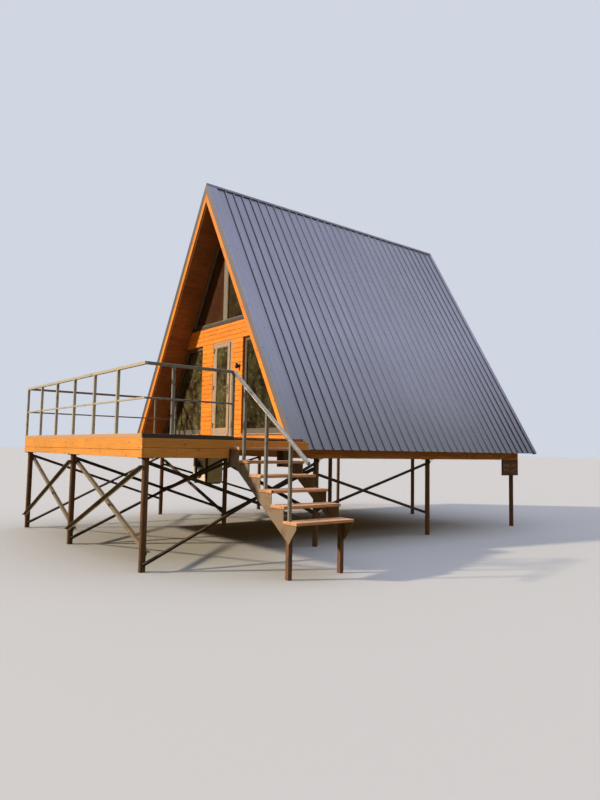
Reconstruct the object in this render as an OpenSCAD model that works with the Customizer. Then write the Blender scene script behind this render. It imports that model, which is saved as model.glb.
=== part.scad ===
// A-frame cabin on steel piles, with an open timber deck and an outside stair.
// X runs across the gable from the ridge line, Y runs back along the ridge, Z is up.
// The origin is the centre of the foot of the middle pile under the front gable wall.
// Every pile and the stair's feet stand on one level, z = 0, the lowest ground under the cabin.

/* [Roof] */
// Half width of the roof at its eaves, on top of the ribs
eave_half = 3086; // [2800:1:3300]
// Slope of the roof from level, in degrees
pitch = 60; // [56:0.5:63]
// Height of the eaves above the lowest ground
eave_z = 1600; // [1560:1:1640]
// Overhang of the roof in front of the gable wall
front_overhang = 515; // [400:1:620]
// Overhang of the roof behind the rear wall
rear_overhang = 562; // [450:1:650]
// Distance from one rib of the roof sheet to the next
rib_pitch = 207; // [180:1:240]
// Height of a rib above the flat pans
rib_h = 20; // [15:1:28]
// Width of a rib at its foot
rib_foot = 44; // [36:1:60]
// Width of a rib at its top
rib_top = 24; // [18:1:32]
// Thickness of the roof sheet
sheet_t = 1.5; // [1:0.1:2]
// Width of the flat flashing over the front verge
verge_w = 216; // [180:1:240]
// Thickness of the flashings and the ridge cap
flashing_t = 2; // [1.5:0.1:3]
// Depth of the flashing's leg down the face of the bargeboard
verge_leg = 50; // [40:1:80]
// Width of each leg of the ridge cap
cap_leg = 58; // [45:1:90]
// Thickness of the roof from its pans to the lining underneath
panel_t = 195; // [170:1:215]
// Width of the bargeboards
barge_w = 168; // [150:1:190]
// Thickness of the bargeboards
barge_t = 25; // [18:1:35]
// Gap between the bargeboards' feet and the deck
barge_gap = 5; // [3:1:12]

/* [House] */
// Length of the house over its two gable walls
house_len = 5850; // [5700:1:5950]
// Distance of the sides of the floor frame in from the eaves
frame_in = 120; // [100:1:160]
// Height of the finished floor above the eaves
floor_rise = 160; // [150:1:190]
// Thickness of the floor boards
floor_t = 28; // [20:1:36]
// Depth of the floor's edge beams
beam_d = 287; // [250:1:320]
// Thickness of the edge beams
beam_t = 50; // [40:1:60]
// Depth of a floor joist
joist_d = 200; // [150:1:220]
// Thickness of a joist
joist_t = 50; // [40:1:60]
// Distance between floor joists
joist_step = 575; // [400:1:650]
// Width of the beam under the middle of the joists
spine_w = 100; // [80:1:140]
// Thickness of the gable walls
wall_t = 150; // [120:1:170]
// Height from the floor to the underside of the boarded band
storey_h = 2000; // [1950:1:2080]
// Height of the boarded band between the storeys
band_h = 375; // [330:1:420]
// Height of the wall under the side windows
sill_h = 110; // [95:1:200]
// Thickness of the upper floor
loft_t = 220; // [160:1:230]
// Depth of the upper floor's surface below the top of the band
loft_drop = 55; // [40:1:90]

/* [Door and windows] */
// Half width of the door frame over its jambs
door_half = 373; // [340:1:400]
// Distance of the door's middle from the ridge line, to the left
door_off = 47; // [0:1:80]
// Width of the boarded column on the left of the door
column_left_w = 440; // [380:1:480]
// Width of the boarded column on its right
column_right_w = 386; // [340:1:440]
// Width of the window frame bars
window_bar = 60; // [50:1:75]
// Depth of the window and door frames
window_d = 80; // [70:1:90]
// Width of the side windows' lower bar
window_foot = 85; // [70:1:100]
// Setback of the door's and the upper window's frame behind the face of the wall
window_back = 8; // [0:1:15]
// Setback of the side windows' frames
side_back = 45; // [30:1:55]
// Width of the post in the middle of the upper window
mullion_w = 137; // [100:1:160]
// Thickness of a sealed glass unit
glass_t = 24; // [20:1:32]
// How far the glass sits into its frame
glass_bite = 12; // [8:1:16]
// Width of the door frame's jambs
jamb_w = 70; // [50:1:80]
// Height of the door frame's head
head_w = 40; // [35:1:55]
// Height of the door's sill
door_sill = 35; // [25:1:45]
// Gap round the door leaf
door_gap = 8; // [7:0.5:12]
// Thickness of the door leaf
leaf_t = 60; // [50:1:66]
// How far the leaf stands in front of its frame
leaf_out = 15; // [0:1:20]
// Width of the leaf's stiles
stile_w = 75; // [65:1:85]
// Height of the leaf's top rail
top_rail = 60; // [50:1:80]
// Height of the leaf's bottom rail
kick_h = 175; // [150:1:260]
// Height of the door handle above the floor
handle_h = 1050; // [950:1:1080]
// Radius of the hinge barrels
hinge_r = 9; // [7:0.5:11]
// Length of a hinge barrel
hinge_l = 100; // [80:1:130]
// Distance of the upper hinge from the top of the leaf
hinge_top = 120; // [90:1:200]
// Distance of the lower hinge from its foot
hinge_foot = 245; // [180:1:280]
// Height of the wall lamp above the floor
lamp_h = 1440; // [1350:1:1650]
// Distance of the lamp from the door's side of its column
lamp_in = 258; // [150:1:300]

/* [Deck] */
// Distance of the deck's right side beyond the eaves
deck_out = 350; // [250:1:450]
// Clearance of the deck's left side from the lining of the roof, at the height of the top rail
deck_left_in = 246; // [150:1:400]
// Depth of the deck from its front to the gable wall
deck_depth = 3233; // [3000:1:3400]
// Height of the deck's fascia above the eaves
fascia_rise = 100; // [90:1:120]
// Width of one fascia board
fascia_w = 125; // [110:1:135]
// Thickness of the fascia boards
fascia_t = 25; // [18:1:30]
// Gap between the two fascia boards
fascia_gap = 4; // [3:1:8]
// Height of the steel edge rail round the deck
curb_h = 57; // [50:1:65]
// Width of the steel edge rail
curb_w = 40; // [36:1:50]
// Thickness of the deck boards
deck_t = 28; // [22:1:34]
// Height of the deck's surface above the top of its fascia
deck_rise = 45; // [40:1:48]
// Depth of a deck joist
deck_joist_d = 145; // [120:1:160]
// Thickness of a deck joist and of the rim boards
deck_joist_t = 45; // [38:1:50]
// Largest distance between deck joists
deck_joist_step = 600; // [450:1:650]
// Gap between the deck boards and the wall
deck_back_gap = 3; // [2:1:8]
// Gap between the deck boards and the roof beside them
deck_notch_gap = 20; // [12:1:30]
// Gap between the deck boards and what edges them
deck_edge_gap = 2; // [1:1:6]
// Width of the beam on the deck's piles
deck_beam_w = 90; // [80:1:110]

/* [Railing] */
// Height of the top rail above the fascia
rail_h = 983; // [930:1:1050]
// Height of the middle of the lower rail above the fascia
mid_h = 512; // [450:1:560]
// Width of the posts and the top rail
post_w = 40; // [32:1:45]
// Width of the lower rail
mid_w = 25; // [20:1:30]
// Distance between the posts along the front
post_step = 892; // [850:1:950]
// Distance of the first side post from the front corner
side_post_1 = 418; // [380:1:460]
// Distance of the last side post from the front corner
side_post_2 = 1345; // [1300:1:1360]
// Outer radius of the top rail's bend into that post
bend_r = 60; // [50:1:90]

/* [Stair] */
// Distance of the lower fascia board's end from the stair
fascia_stop = 25; // [15:1:40]
// Distance of the stair from the front of the deck
stair_y = 1320; // [1300:1:1380]
// Width of the stair
stair_w = 940; // [850:1:1100]
// Number of treads
treads = 6; // [5:1:7]
// Depth of the first tread below the top of the fascia
first_drop = 95; // [90:1:105]
// Rise from one tread to the next
step_h = 180; // [165:1:185]
// Going from one tread to the next
going = 261; // [240:1:275]
// Depth of a tread from front to back
tread_d = 280; // [275:1:300]
// Thickness of a tread
tread_t = 40; // [30:1:45]
// Distance of the second tread's back edge from the side of the deck
stair_start = 196; // [170:1:230]
// Thickness of the stringer plates
stringer_t = 8; // [6:0.5:12]
// Depth of the stringer's head plate under the first tread
stringer_head = 240; // [200:1:260]
// Width of the head plate
stringer_head_w = 138; // [110:1:160]
// Drop of the stringer's lower edge under its teeth, at the foot of the stair
stringer_tail = 155; // [120:1:170]
// Width of the posts under the deck that carry the stringers
hanger_w = 90; // [70:1:110]
// Distance of the stringers in from the ends of the treads
stringer_in = 10; // [5:1:40]
// Width of the stair's feet
foot_w = 60; // [50:1:80]
// Slope of the handrail, in degrees
handrail_slope = 36.2; // [35:0.1:38]
// Length of the handrail, level
handrail_run = 1706; // [1600:1:1750]
// Distance of a handrail post from the back edge of its tread
handrail_in = 105; // [60:1:200]

/* [Piles] */
// Diameter of a pile
pile_dia = 89; // [76:1:108]
// Distance of the outer house piles from the sides of the floor frame
pile_in = 100; // [95:1:120]
// Distance of the deck piles from the front of the deck
deck_pile_in = 100; // [95:1:120]
// Distance of the right deck pile from the right side of the deck
deck_pile_right = 90; // [85:1:120]
// Distance of the left deck pile from the left side of the deck
deck_pile_left = 70; // [70:1:120]
// Distance of the first row of piles behind the face of the gable wall
row_in = 117; // [100:1:130]
// Width of the plate on top of a pile
plate_w = 160; // [140:1:180]
// Thickness of that plate
plate_t = 8; // [6:1:12]
// Distance of the middle deck pile from the right one
deck_pile_step = 2760; // [2600:1:2900]
// Offset of the deck beam behind the middle of its piles
deck_beam_back = 20; // [0:1:30]
// Distance of the front braces' upper ends below the fascia
front_brace_drop = 130; // [100:1:180]
// Height of the front braces' lower ends
front_brace_low = 230; // [200:1:300]
// Distance of the upper ends of the braces under the deck below its fascia
cross_brace_drop = 45; // [40:1:80]
// Height of their lower ends on the deck piles
cross_brace_low = 100; // [80:1:200]
// Height of their lower ends on the house piles
cross_brace_foot = 370; // [300:1:450]
// Distance of the gable braces' upper ends below the pile tops
gable_brace_drop = 180; // [150:1:220]
// Height of the gable braces' lower ends on the outer piles
gable_brace_foot = 500; // [450:1:560]
// Height of the gable braces' lower ends on the middle pile
gable_brace_low = 230; // [200:1:300]
// Distance of the side braces' upper ends below the pile tops, at the front
side_brace_drop = 250; // [220:1:300]
// The same distance at the second row of piles
side_brace_rise = 60; // [50:1:100]
// Height of the side braces' lower ends, at the front
side_brace_foot = 600; // [550:1:660]
// The same height at the second row of piles
side_brace_low = 420; // [380:1:480]
// Leg of the brace angles
angle_w = 50; // [40:1:60]
// Thickness of the brace angles
angle_t = 5; // [4:0.5:6]

/* [Air unit] */
// Width of the air unit under the floor
unit_w = 800; // [700:1:850]
// Depth of the air unit
unit_d = 300; // [260:1:340]
// Height of the air unit
unit_h = 550; // [500:1:600]
// Distance of the unit's middle from the ridge line, to the left
unit_x = 1664; // [1500:1:1800]
// Distance of the unit behind the first row of piles
unit_y = 400; // [350:1:450]
// Distance of the unit's top below the floor joists
unit_drop = 163; // [120:1:200]

/* [Hidden] */
$fn = 48;
fit = 0.3;

roof_len = front_overhang + house_len + rear_overhang;
frame_half = eave_half - frame_in;
ridge_z = eave_z + eave_half * tan(pitch);
slope_len = eave_half / cos(pitch);
soffit = rib_h + sheet_t + panel_t;
wall_y = -row_in;
rear_y = wall_y + house_len;
roof_y0 = wall_y - front_overhang;
roof_y1 = roof_y0 + roof_len;
floor_z = eave_z + floor_rise;
frame_z = floor_z - floor_t;
beam_z = frame_z - beam_d;
band_z = floor_z + storey_h;
band_top = band_z + band_h;
sill_z = floor_z + sill_h;
frame_y = wall_y + window_back;
side_y = wall_y + side_back;
fascia_z = eave_z + fascia_rise;
fascia_low = fascia_z - 2 * fascia_w - fascia_gap;
deck_z = fascia_z + deck_rise;
deck_y = wall_y - deck_depth;
post_in = curb_w / 2;
rail_z = fascia_z + rail_h;
deck_right = eave_half + deck_out;
deck_left = deck_left_in - ((ridge_z - rail_z) / tan(pitch) - soffit / sin(pitch));
deck_w = deck_right - deck_left;
stair_y0 = deck_y + stair_y;
stair_y1 = stair_y0 + stair_w;

// Points of a roof section: down the right slope by s and in from the top of the ribs by d
function on_slope(s, d) =
    [s * cos(pitch) - d * sin(pitch), ridge_z - s * sin(pitch) - d * cos(pitch)];
// The point at depth d on the ridge's middle plane, or at a small distance x from it
function at_ridge(d, x = 0) = [x, ridge_z - d / cos(pitch) - x * tan(pitch)];
// Half width of the roof at height z and depth d
function half_at(z, d) = (ridge_z - z) / tan(pitch) - d / sin(pitch);
// Half width of the space under the lining at height z, less the fit
function room_half(z) = half_at(z, soffit) - fit;

// Runs children, drawn as an X-Z section, along Y from y0 to y1
module run_y(y0, y1) {
    translate([0, y1, 0]) rotate([90, 0, 0]) linear_extrude(y1 - y0) children();
}

// Runs children, drawn as a Y-Z section, along X from x0 to x1
module run_x(x0, x1) {
    translate([x0, 0, 0]) rotate([90, 0, 90]) linear_extrude(x1 - x0) children();
}

module block(lo, hi) {
    translate(lo) cube(hi - lo);
}

module both_sides() {
    children();
    mirror([1, 0, 0]) children();
}

// Roof

rib_count = floor((roof_len - verge_w - rib_foot) / rib_pitch) + 1;
last_rib = roof_y0 + verge_w + (rib_count - 1) * rib_pitch;
// Distance of the sheets' upper ends from each other, so that they clear the ridge
sheet_gap = 8;
sheet_start = (rib_h + sheet_t) * tan(pitch) + sheet_gap;
// Depth of the roof panels and the bargeboards under the tops of the ribs
panel_top = rib_h + sheet_t + fit;

// Section of the sheet across its ribs; depth grows downwards, the rib tops are at 0
function rib_line(drop, narrow) = [for (k = [0 : rib_count - 1])
    let (y = roof_y0 + verge_w + k * rib_pitch)
    each [[y - rib_foot / 2 + narrow, -rib_h - drop], [y - rib_top / 2 + narrow, -drop],
          [y + rib_top / 2 - narrow, -drop], [y + rib_foot / 2 - narrow, -rib_h - drop]]];
function backwards(list) = [for (k = [len(list) - 1 : -1 : 0]) list[k]];

module sheet_section() {
    top = concat([[roof_y0 + barge_t, -rib_h]], rib_line(0, 0), [[roof_y1 - barge_t, -rib_h]]);
    under = concat([[roof_y0 + barge_t, -rib_h - sheet_t]], rib_line(sheet_t, sheet_t * 0.6),
        [[roof_y1 - barge_t, -rib_h - sheet_t]]);
    polygon(concat(top, backwards(under)));
}

module roof_sheet() {
    color([0.42, 0.43, 0.47]) translate([0, 0, ridge_z]) rotate([0, pitch, 0])
        run_x(sheet_start, slope_len) sheet_section();
}
module roof_sheet_right() roof_sheet();
module roof_sheet_left() mirror([1, 0, 0]) roof_sheet();

module ridge_cap() {
    low = flashing_t + 2 * fit;
    high = low + flashing_t;
    right = [at_ridge(-high), on_slope(cap_leg, -high), on_slope(cap_leg, -low), at_ridge(-low)];
    color([0.4, 0.41, 0.45]) run_y(roof_y0, roof_y1) {
        polygon(right);
        mirror([1, 0]) polygon(right);
    }
}

// A strip along the right slope between two depths, mitred just short of the ridge plane
module slope_strip(d0, d1, end) {
    polygon([at_ridge(d0, fit), on_slope(end, d0), on_slope(end, d1), at_ridge(d1, fit)]);
}

// Flashing over one end of the roof: a flat leg on the ribs and a leg down the bargeboard
module verge_flashing(y_face, y_inner, out) {
    color([0.38, 0.39, 0.43]) both_sides() {
        run_y(min(y_face, y_inner), max(y_face, y_inner)) slope_strip(-flashing_t - fit, -fit, slope_len);
        run_y(min(y_face, y_face + out), max(y_face, y_face + out))
            slope_strip(-flashing_t - fit, verge_leg, slope_len);
    }
}
module front_flashings() verge_flashing(roof_y0, roof_y0 + verge_w + rib_top / 2, -flashing_t);
module rear_flashings() verge_flashing(roof_y1, last_rib - rib_top / 2, flashing_t);

module roof_panel() {
    color([0.72, 0.44, 0.22]) run_y(roof_y0 + barge_t, roof_y1 - barge_t)
        polygon([at_ridge(panel_top, fit), [half_at(frame_z, panel_top), frame_z],
                 [half_at(frame_z, soffit), frame_z], at_ridge(soffit, fit)]);
}
module roof_panel_right() roof_panel();
module roof_panel_left() mirror([1, 0, 0]) roof_panel();

// Boards over the ends of the roof panels, cut level just above the deck
module bargeboards(y0) {
    low = panel_top + barge_w;
    foot = deck_z + barge_gap;
    color([0.87, 0.53, 0.25]) both_sides() run_y(y0, y0 + barge_t)
        polygon([at_ridge(panel_top, fit), [half_at(foot, panel_top), foot],
                 [half_at(foot, low), foot], at_ridge(low, fit)]);
}
module front_bargeboards() bargeboards(roof_y0);
module rear_bargeboards() bargeboards(roof_y1 - barge_t);

// Floor and frame

module floor_boards() {
    color([0.7, 0.5, 0.3]) run_y(wall_y, rear_y)
        polygon([[-room_half(frame_z), frame_z], [room_half(frame_z), frame_z],
                 [room_half(floor_z), floor_z], [-room_half(floor_z), floor_z]]);
}

joist_half = frame_half - beam_t;

module floor_joists() {
    inner = house_len - 2 * beam_t;
    count = ceil(inner / joist_step) - 1;
    gap = (inner - count * joist_t) / (count + 1);
    color([0.6, 0.42, 0.24]) for (k = [1 : count])
        translate([-joist_half, wall_y + beam_t + k * gap + (k - 1) * joist_t, frame_z - joist_d])
            cube([2 * joist_half, joist_t, joist_d]);
}

module side_beams() {
    color([0.83, 0.5, 0.24]) both_sides()
        block([joist_half, roof_y0 + barge_t, beam_z], [frame_half, rear_y, frame_z]);
}

module end_beams() {
    color([0.83, 0.5, 0.24]) for (y = [wall_y, rear_y - beam_t])
        block([-joist_half, y, beam_z], [joist_half, y + beam_t, frame_z]);
}

module spine_beam() {
    color([0.6, 0.42, 0.24]) block([-spine_w / 2, wall_y + beam_t, beam_z],
        [spine_w / 2, rear_y - beam_t, frame_z - joist_d]);
}

module loft_floor() {
    top = band_top - loft_drop;
    color([0.72, 0.52, 0.32]) run_y(wall_y + wall_t, rear_y - wall_t)
        polygon([[-room_half(top - loft_t), top - loft_t], [room_half(top - loft_t), top - loft_t],
                 [room_half(top), top], [-room_half(top), top]]);
}

// Front gable wall

// Distances from the ridge line of a column's two edges; side is 1 on the right and -1 on the left
function column_start(side) = door_half - side * door_off;
function window_edge(side) = column_start(side) + (side > 0 ? column_right_w : column_left_w);

module column(side) {
    inner = side * column_start(side);
    outer = side * window_edge(side);
    color([0.87, 0.53, 0.25])
        block([min(inner, outer), wall_y, floor_z], [max(inner, outer), wall_y + wall_t, band_z]);
}
module column_left() column(-1);
module column_right() column(1);

module wall_band() {
    color([0.87, 0.53, 0.25]) run_y(wall_y, wall_y + wall_t)
        polygon([[-room_half(band_z), band_z], [room_half(band_z), band_z],
                 [room_half(band_top), band_top], [-room_half(band_top), band_top]]);
}

module sill_walls() {
    color([0.87, 0.53, 0.25]) for (side = [-1, 1]) scale([side, 1, 1]) run_y(wall_y, wall_y + wall_t)
        polygon([[window_edge(side), floor_z], [room_half(floor_z), floor_z],
                 [room_half(sill_z), sill_z], [window_edge(side), sill_z]]);
}

module rear_wall() {
    color([0.85, 0.52, 0.25]) run_y(rear_y - wall_t, rear_y)
        polygon([[-room_half(floor_z), floor_z], [room_half(floor_z), floor_z],
                 at_ridge(soffit) - [0, 2 * fit]]);
}

// Outline of one side window, set in by w, and by the rest of the lower bar at its foot
function frame_corner(z, w) = [half_at(z, soffit + w) - fit, z];
function side_outline(side, w) =
    let (foot = sill_z + w + (w > 0 ? window_foot - window_bar : 0))
    [[window_edge(side) + w, foot], frame_corner(foot, w),
     frame_corner(band_z - w, w), [window_edge(side) + w, band_z - w]];

// The glass lies in a groove round the frame, so the frame is cut by a slightly larger pane
module side_pane(side, spare) {
    run_y(side_y + (window_d - glass_t) / 2 - spare, side_y + (window_d + glass_t) / 2 + spare)
        polygon(side_outline(side, window_bar - glass_bite - spare));
}
module side_window_frame(side) {
    color([0.25, 0.24, 0.23]) scale([side, 1, 1]) difference() {
        run_y(side_y, side_y + window_d) difference() {
            polygon(side_outline(side, 0));
            polygon(side_outline(side, window_bar));
        }
        side_pane(side, fit);
    }
}
module side_window_frame_right() side_window_frame(1);
module side_window_frame_left() side_window_frame(-1);
module side_glass() color([0.35, 0.4, 0.38, 0.6]) for (side = [-1, 1]) scale([side, 1, 1]) side_pane(side, 0);

// One half of the upper window, set in by w; its inner edge is the post in the middle
function upper_outline(w, post) = [[post, band_top + w], frame_corner(band_top + w, w),
    [post, ridge_z - (post + fit + (soffit + w) / sin(pitch)) * tan(pitch)]];

module upper_pane(spare) {
    inset = window_bar - glass_bite - spare;
    run_y(frame_y + (window_d - glass_t) / 2 - spare, frame_y + (window_d + glass_t) / 2 + spare)
        polygon(upper_outline(inset, mullion_w / 2 - glass_bite - spare));
}

module upper_window_frame() {
    whole = upper_outline(0, 0);
    color([0.25, 0.24, 0.23]) difference() {
        run_y(frame_y, frame_y + window_d) difference() {
            polygon([whole[1], whole[2], [-whole[1][0], whole[1][1]]]);
            polygon(upper_outline(window_bar, mullion_w / 2));
            mirror([1, 0]) polygon(upper_outline(window_bar, mullion_w / 2));
        }
        both_sides() upper_pane(fit);
    }
}
module upper_glass() color([0.35, 0.4, 0.38, 0.6]) both_sides() upper_pane(0);

// Door

leaf_half = door_half - jamb_w - door_gap;
leaf_low = floor_z + door_sill + door_gap;
leaf_high = band_z - head_w - door_gap;
leaf_y = frame_y - leaf_out;
stop_gap = 5;
stop_y = leaf_y + leaf_t + stop_gap;
stop_lap = 12;
hinge_x = -(leaf_half + door_gap / 2);
hinge_out = 2;
hinge_y = leaf_y - hinge_r - hinge_out;
hinge_ends = [leaf_low + hinge_foot, leaf_high - hinge_top];
hinge_heights = [hinge_ends[0], (hinge_ends[0] + hinge_ends[1]) / 2, hinge_ends[1]];
glass_half = leaf_half - stile_w;
glass_low = leaf_low + kick_h;
glass_high = leaf_high - top_rail;

module at_door() translate([-door_off, 0, 0]) children();

module door_frame() {
    lap = leaf_half - stop_lap;
    color([0.5, 0.44, 0.38]) at_door() difference() {
        block([-door_half, frame_y, floor_z], [door_half, frame_y + window_d, band_z]);
        block([-door_half + jamb_w, frame_y - 1, floor_z + door_sill],
            [door_half - jamb_w, stop_y, band_z - head_w]);
        block([-lap, frame_y, leaf_low + stop_lap], [lap, frame_y + window_d + 1, leaf_high - stop_lap]);
    }
}

module door_pane(spare) {
    mid = leaf_y + leaf_t / 2;
    lap = glass_bite + spare;
    block([-glass_half - lap, mid - glass_t / 2 - spare, glass_low - lap],
        [glass_half + lap, mid + glass_t / 2 + spare, glass_high + lap]);
}

module door_leaf() {
    color([0.5, 0.44, 0.38]) at_door() difference() {
        block([-leaf_half, leaf_y, leaf_low], [leaf_half, leaf_y + leaf_t, leaf_high]);
        block([-glass_half, leaf_y - 1, glass_low], [glass_half, leaf_y + leaf_t + 1, glass_high]);
        door_pane(fit);
    }
}
module door_glass() color([0.35, 0.4, 0.38, 0.6]) at_door() door_pane(0);

// A narrow rose with a bent lever on each face of the leaf
module lever(out) {
    rose_r = 16;
    rose_t = 8;
    bar_r = 8;
    reach = 42;
    grip = 120;
    rotate([out > 0 ? -90 : 90, 0, 0]) {
        cylinder(h = rose_t, r = rose_r);
        cylinder(h = reach, r = bar_r);
        translate([0, 0, reach - bar_r]) rotate([0, -90, 0]) cylinder(h = grip, r = bar_r);
    }
}
module door_handle() {
    x = leaf_half - stile_w / 2;
    color([0.75, 0.74, 0.72]) at_door() {
        translate([x, leaf_y, floor_z + handle_h]) lever(-1);
        translate([x, leaf_y + leaf_t, floor_z + handle_h]) lever(1);
    }
}

// One knuckle of a hinge and the strap that carries it; side is 1 on the leaf and -1 on the jamb
module knuckle(z0, z1, side) {
    strap_t = 4;
    strap_w = 40;
    face = side > 0 ? leaf_y : frame_y;
    barrel = side > 0 ? [z0 + fit, z1] : [z0, z1 - fit];
    translate([hinge_x, hinge_y, barrel[0]]) cylinder(h = barrel[1] - barrel[0], r = hinge_r);
    translate([hinge_x, 0, barrel[0]]) scale([side, 1, 1]) {
        block([0, hinge_y, 0], [strap_t, face - fit, barrel[1] - barrel[0]]);
        block([0, face - strap_t, 0], [strap_w, face, barrel[1] - barrel[0]]);
    }
}
module leaf_hinges() {
    color([0.8, 0.79, 0.76]) at_door() for (z = hinge_heights) knuckle(z, z + hinge_l / 2, 1);
}
module frame_hinges() {
    color([0.8, 0.79, 0.76]) at_door() for (z = hinge_heights) knuckle(z - hinge_l / 2, z, -1);
}

module wall_lamp() {
    lamp_r = 26;
    lamp_l = 105;
    plate = 60;
    plate_t = 12;
    arm = 20;
    x = column_start(1) + lamp_in;
    z = floor_z + lamp_h;
    color([0.12, 0.12, 0.12]) {
        translate([x, wall_y - 2 * lamp_r, z - lamp_l / 2]) cylinder(h = lamp_l, r = lamp_r);
        block([x - plate / 2, wall_y - plate_t, z - plate / 2], [x + plate / 2, wall_y, z + plate / 2]);
        block([x - arm / 2, wall_y - 2 * lamp_r, z - arm / 2], [x + arm / 2, wall_y, z + arm / 2]);
    }
}

// Deck

deck_frame_z = deck_z - deck_t;
deck_joist_z = deck_frame_z - deck_joist_d;
notch_x = room_half(deck_frame_z) - deck_notch_gap;
deck_back = wall_y - deck_back_gap;
rim_back = roof_y0;

module deck_boards() {
    inner = curb_w + deck_edge_gap;
    color([0.62, 0.42, 0.26]) translate([0, 0, deck_frame_z]) linear_extrude(deck_t)
        polygon([[deck_left + inner, deck_y + inner], [deck_right - inner, deck_y + inner],
                 [deck_right - inner, rim_back - 2 * deck_edge_gap], [notch_x, rim_back - 2 * deck_edge_gap],
                 [notch_x, deck_back], [deck_left + inner, deck_back]]);
}

rim_in = fascia_t;
inner_left = deck_left + rim_in + deck_joist_t;
inner_right = deck_right - rim_in - deck_joist_t;
inner_front = deck_y + rim_in + deck_joist_t;
ledger_y = wall_y - deck_joist_t;
header_y = rim_back - flashing_t - fit;

// Rims behind the fascias, the ledger on the house and the header where the roof comes down.
// The right rim is as deep as both fascia boards up to the stair, and as deep as the joists beside it
module deck_rims() {
    front = deck_y + rim_in;
    color([0.55, 0.38, 0.22]) {
        block([deck_left + rim_in, front, fascia_low], [deck_right - rim_in, front + deck_joist_t, fascia_z]);
        block([deck_left + rim_in, inner_front + fit, fascia_low], [inner_left, ledger_y - fit, fascia_z]);
        run_x(inner_right, deck_right - rim_in)
            polygon([[inner_front + fit, fascia_low], [stair_y0, fascia_low], [stair_y0, deck_joist_z],
                     [rim_back - fit, deck_joist_z], [rim_back - fit, fascia_z],
                     [inner_front + fit, fascia_z]]);
        block([deck_left + curb_w + fit, ledger_y, deck_joist_z], [notch_x, wall_y - fit, deck_frame_z]);
        block([notch_x + deck_joist_t + fit, header_y - deck_joist_t, deck_joist_z],
            [inner_right - fit, header_y, deck_frame_z]);
    }
}

module deck_joists() {
    span = notch_x - inner_left;
    count = ceil(span / deck_joist_step);
    step = span / count;
    color([0.55, 0.38, 0.22]) {
        for (k = [1 : count]) {
            x = inner_left + k * step;
            block([x, inner_front + fit, deck_joist_z],
                [x + deck_joist_t, (k < count ? ledger_y : rim_back) - fit, deck_frame_z]);
        }
    }
}

module deck_beam() {
    y = deck_y + deck_pile_in + deck_beam_back;
    color([0.5, 0.35, 0.2]) block([inner_left + fit, y - deck_beam_w / 2, fascia_low],
        [inner_right - fit, y + deck_beam_w / 2, deck_joist_z]);
}

// Two boards, one above the other, along X
module fascia_pair(lo_xy, hi_xy, low_end_xy) {
    color([0.93, 0.6, 0.3]) {
        block([lo_xy[0], lo_xy[1], fascia_z - fascia_w], [hi_xy[0], hi_xy[1], fascia_z]);
        block([lo_xy[0], lo_xy[1], fascia_low], [low_end_xy[0], low_end_xy[1], fascia_low + fascia_w]);
    }
}
module fascia_front()
    fascia_pair([deck_left, deck_y], [deck_right, deck_y + fascia_t], [deck_right, deck_y + fascia_t]);
module fascia_right()
    fascia_pair([deck_right - fascia_t, deck_y + fascia_t + fit], [deck_right, rim_back],
        [deck_right, stair_y0 - fascia_stop]);
module fascia_left()
    fascia_pair([deck_left, deck_y + fascia_t + fit], [deck_left + fascia_t, wall_y - fit],
        [deck_left + fascia_t, wall_y - fit]);

// Steel rail on the edge of the deck: the front, the right side up to the stair, and the left side
module edge_rail() {
    color([0.42, 0.4, 0.38]) translate([0, 0, fascia_z]) linear_extrude(curb_h) {
        translate([deck_left, deck_y]) square([deck_w, curb_w]);
        translate([deck_right - curb_w, deck_y]) square([curb_w, side_post_2 + post_w / 2]);
        translate([deck_left, deck_y]) square([curb_w, deck_depth - fit]);
    }
}

// Railing

curb_top = fascia_z + curb_h;

module post(x, y) {
    block([x - post_w / 2, y - post_w / 2, curb_top], [x + post_w / 2, y + post_w / 2, rail_z - post_w]);
}

module rail(from, to, z, w) {
    block([min(from[0], to[0]) - w / 2, min(from[1], to[1]) - w / 2, z - w / 2],
        [max(from[0], to[0]) + w / 2, max(from[1], to[1]) + w / 2, z + w / 2]);
}

front_line = deck_y + post_in;
right_line = deck_right - post_in;
left_line = deck_left + post_in;
front_posts = floor((deck_w - 2 * post_in) / post_step);

module rails(from, to) {
    rail(from, to, rail_z - post_w / 2, post_w);
    rail(from, to, fascia_z + mid_h, mid_w);
}

module railing_front() {
    color([0.55, 0.55, 0.54]) {
        rails([left_line, front_line], [right_line, front_line]);
        for (k = [1 : front_posts]) post(right_line - k * post_step, front_line);
    }
}

// The side rails butt against the front ones
side_start = front_line + post_w / 2 + fit;

module side_rail(x, y1, z, w) {
    block([x - w / 2, side_start, z - w / 2], [x + w / 2, y1, z + w / 2]);
}

// The top rail bends down into the last post
module railing_right() {
    back = deck_y + side_post_2 + post_w / 2;
    color([0.5, 0.5, 0.49]) {
        side_rail(right_line, back - bend_r, rail_z - post_w / 2, post_w);
        side_rail(right_line, back, fascia_z + mid_h, mid_w);
        post(right_line, deck_y + side_post_1);
        run_x(right_line - post_w / 2, right_line + post_w / 2) {
            translate([back - post_w, curb_top]) square([post_w, rail_z - bend_r - curb_top]);
            translate([back - bend_r, rail_z - bend_r]) intersection() {
                difference() {
                    circle(r = bend_r);
                    circle(r = bend_r - post_w);
                }
                square(bend_r);
            }
        }
    }
}

module railing_left() {
    last = wall_y - post_w;
    count = floor((last - front_line) / post_step);
    color([0.5, 0.5, 0.49]) {
        side_rail(left_line, last + post_w / 2, rail_z - post_w / 2, post_w);
        side_rail(left_line, last + post_w / 2, fascia_z + mid_h, mid_w);
        for (k = [1 : count]) post(left_line, front_line + k * post_step);
        post(left_line, last);
    }
}

// Stair

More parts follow.
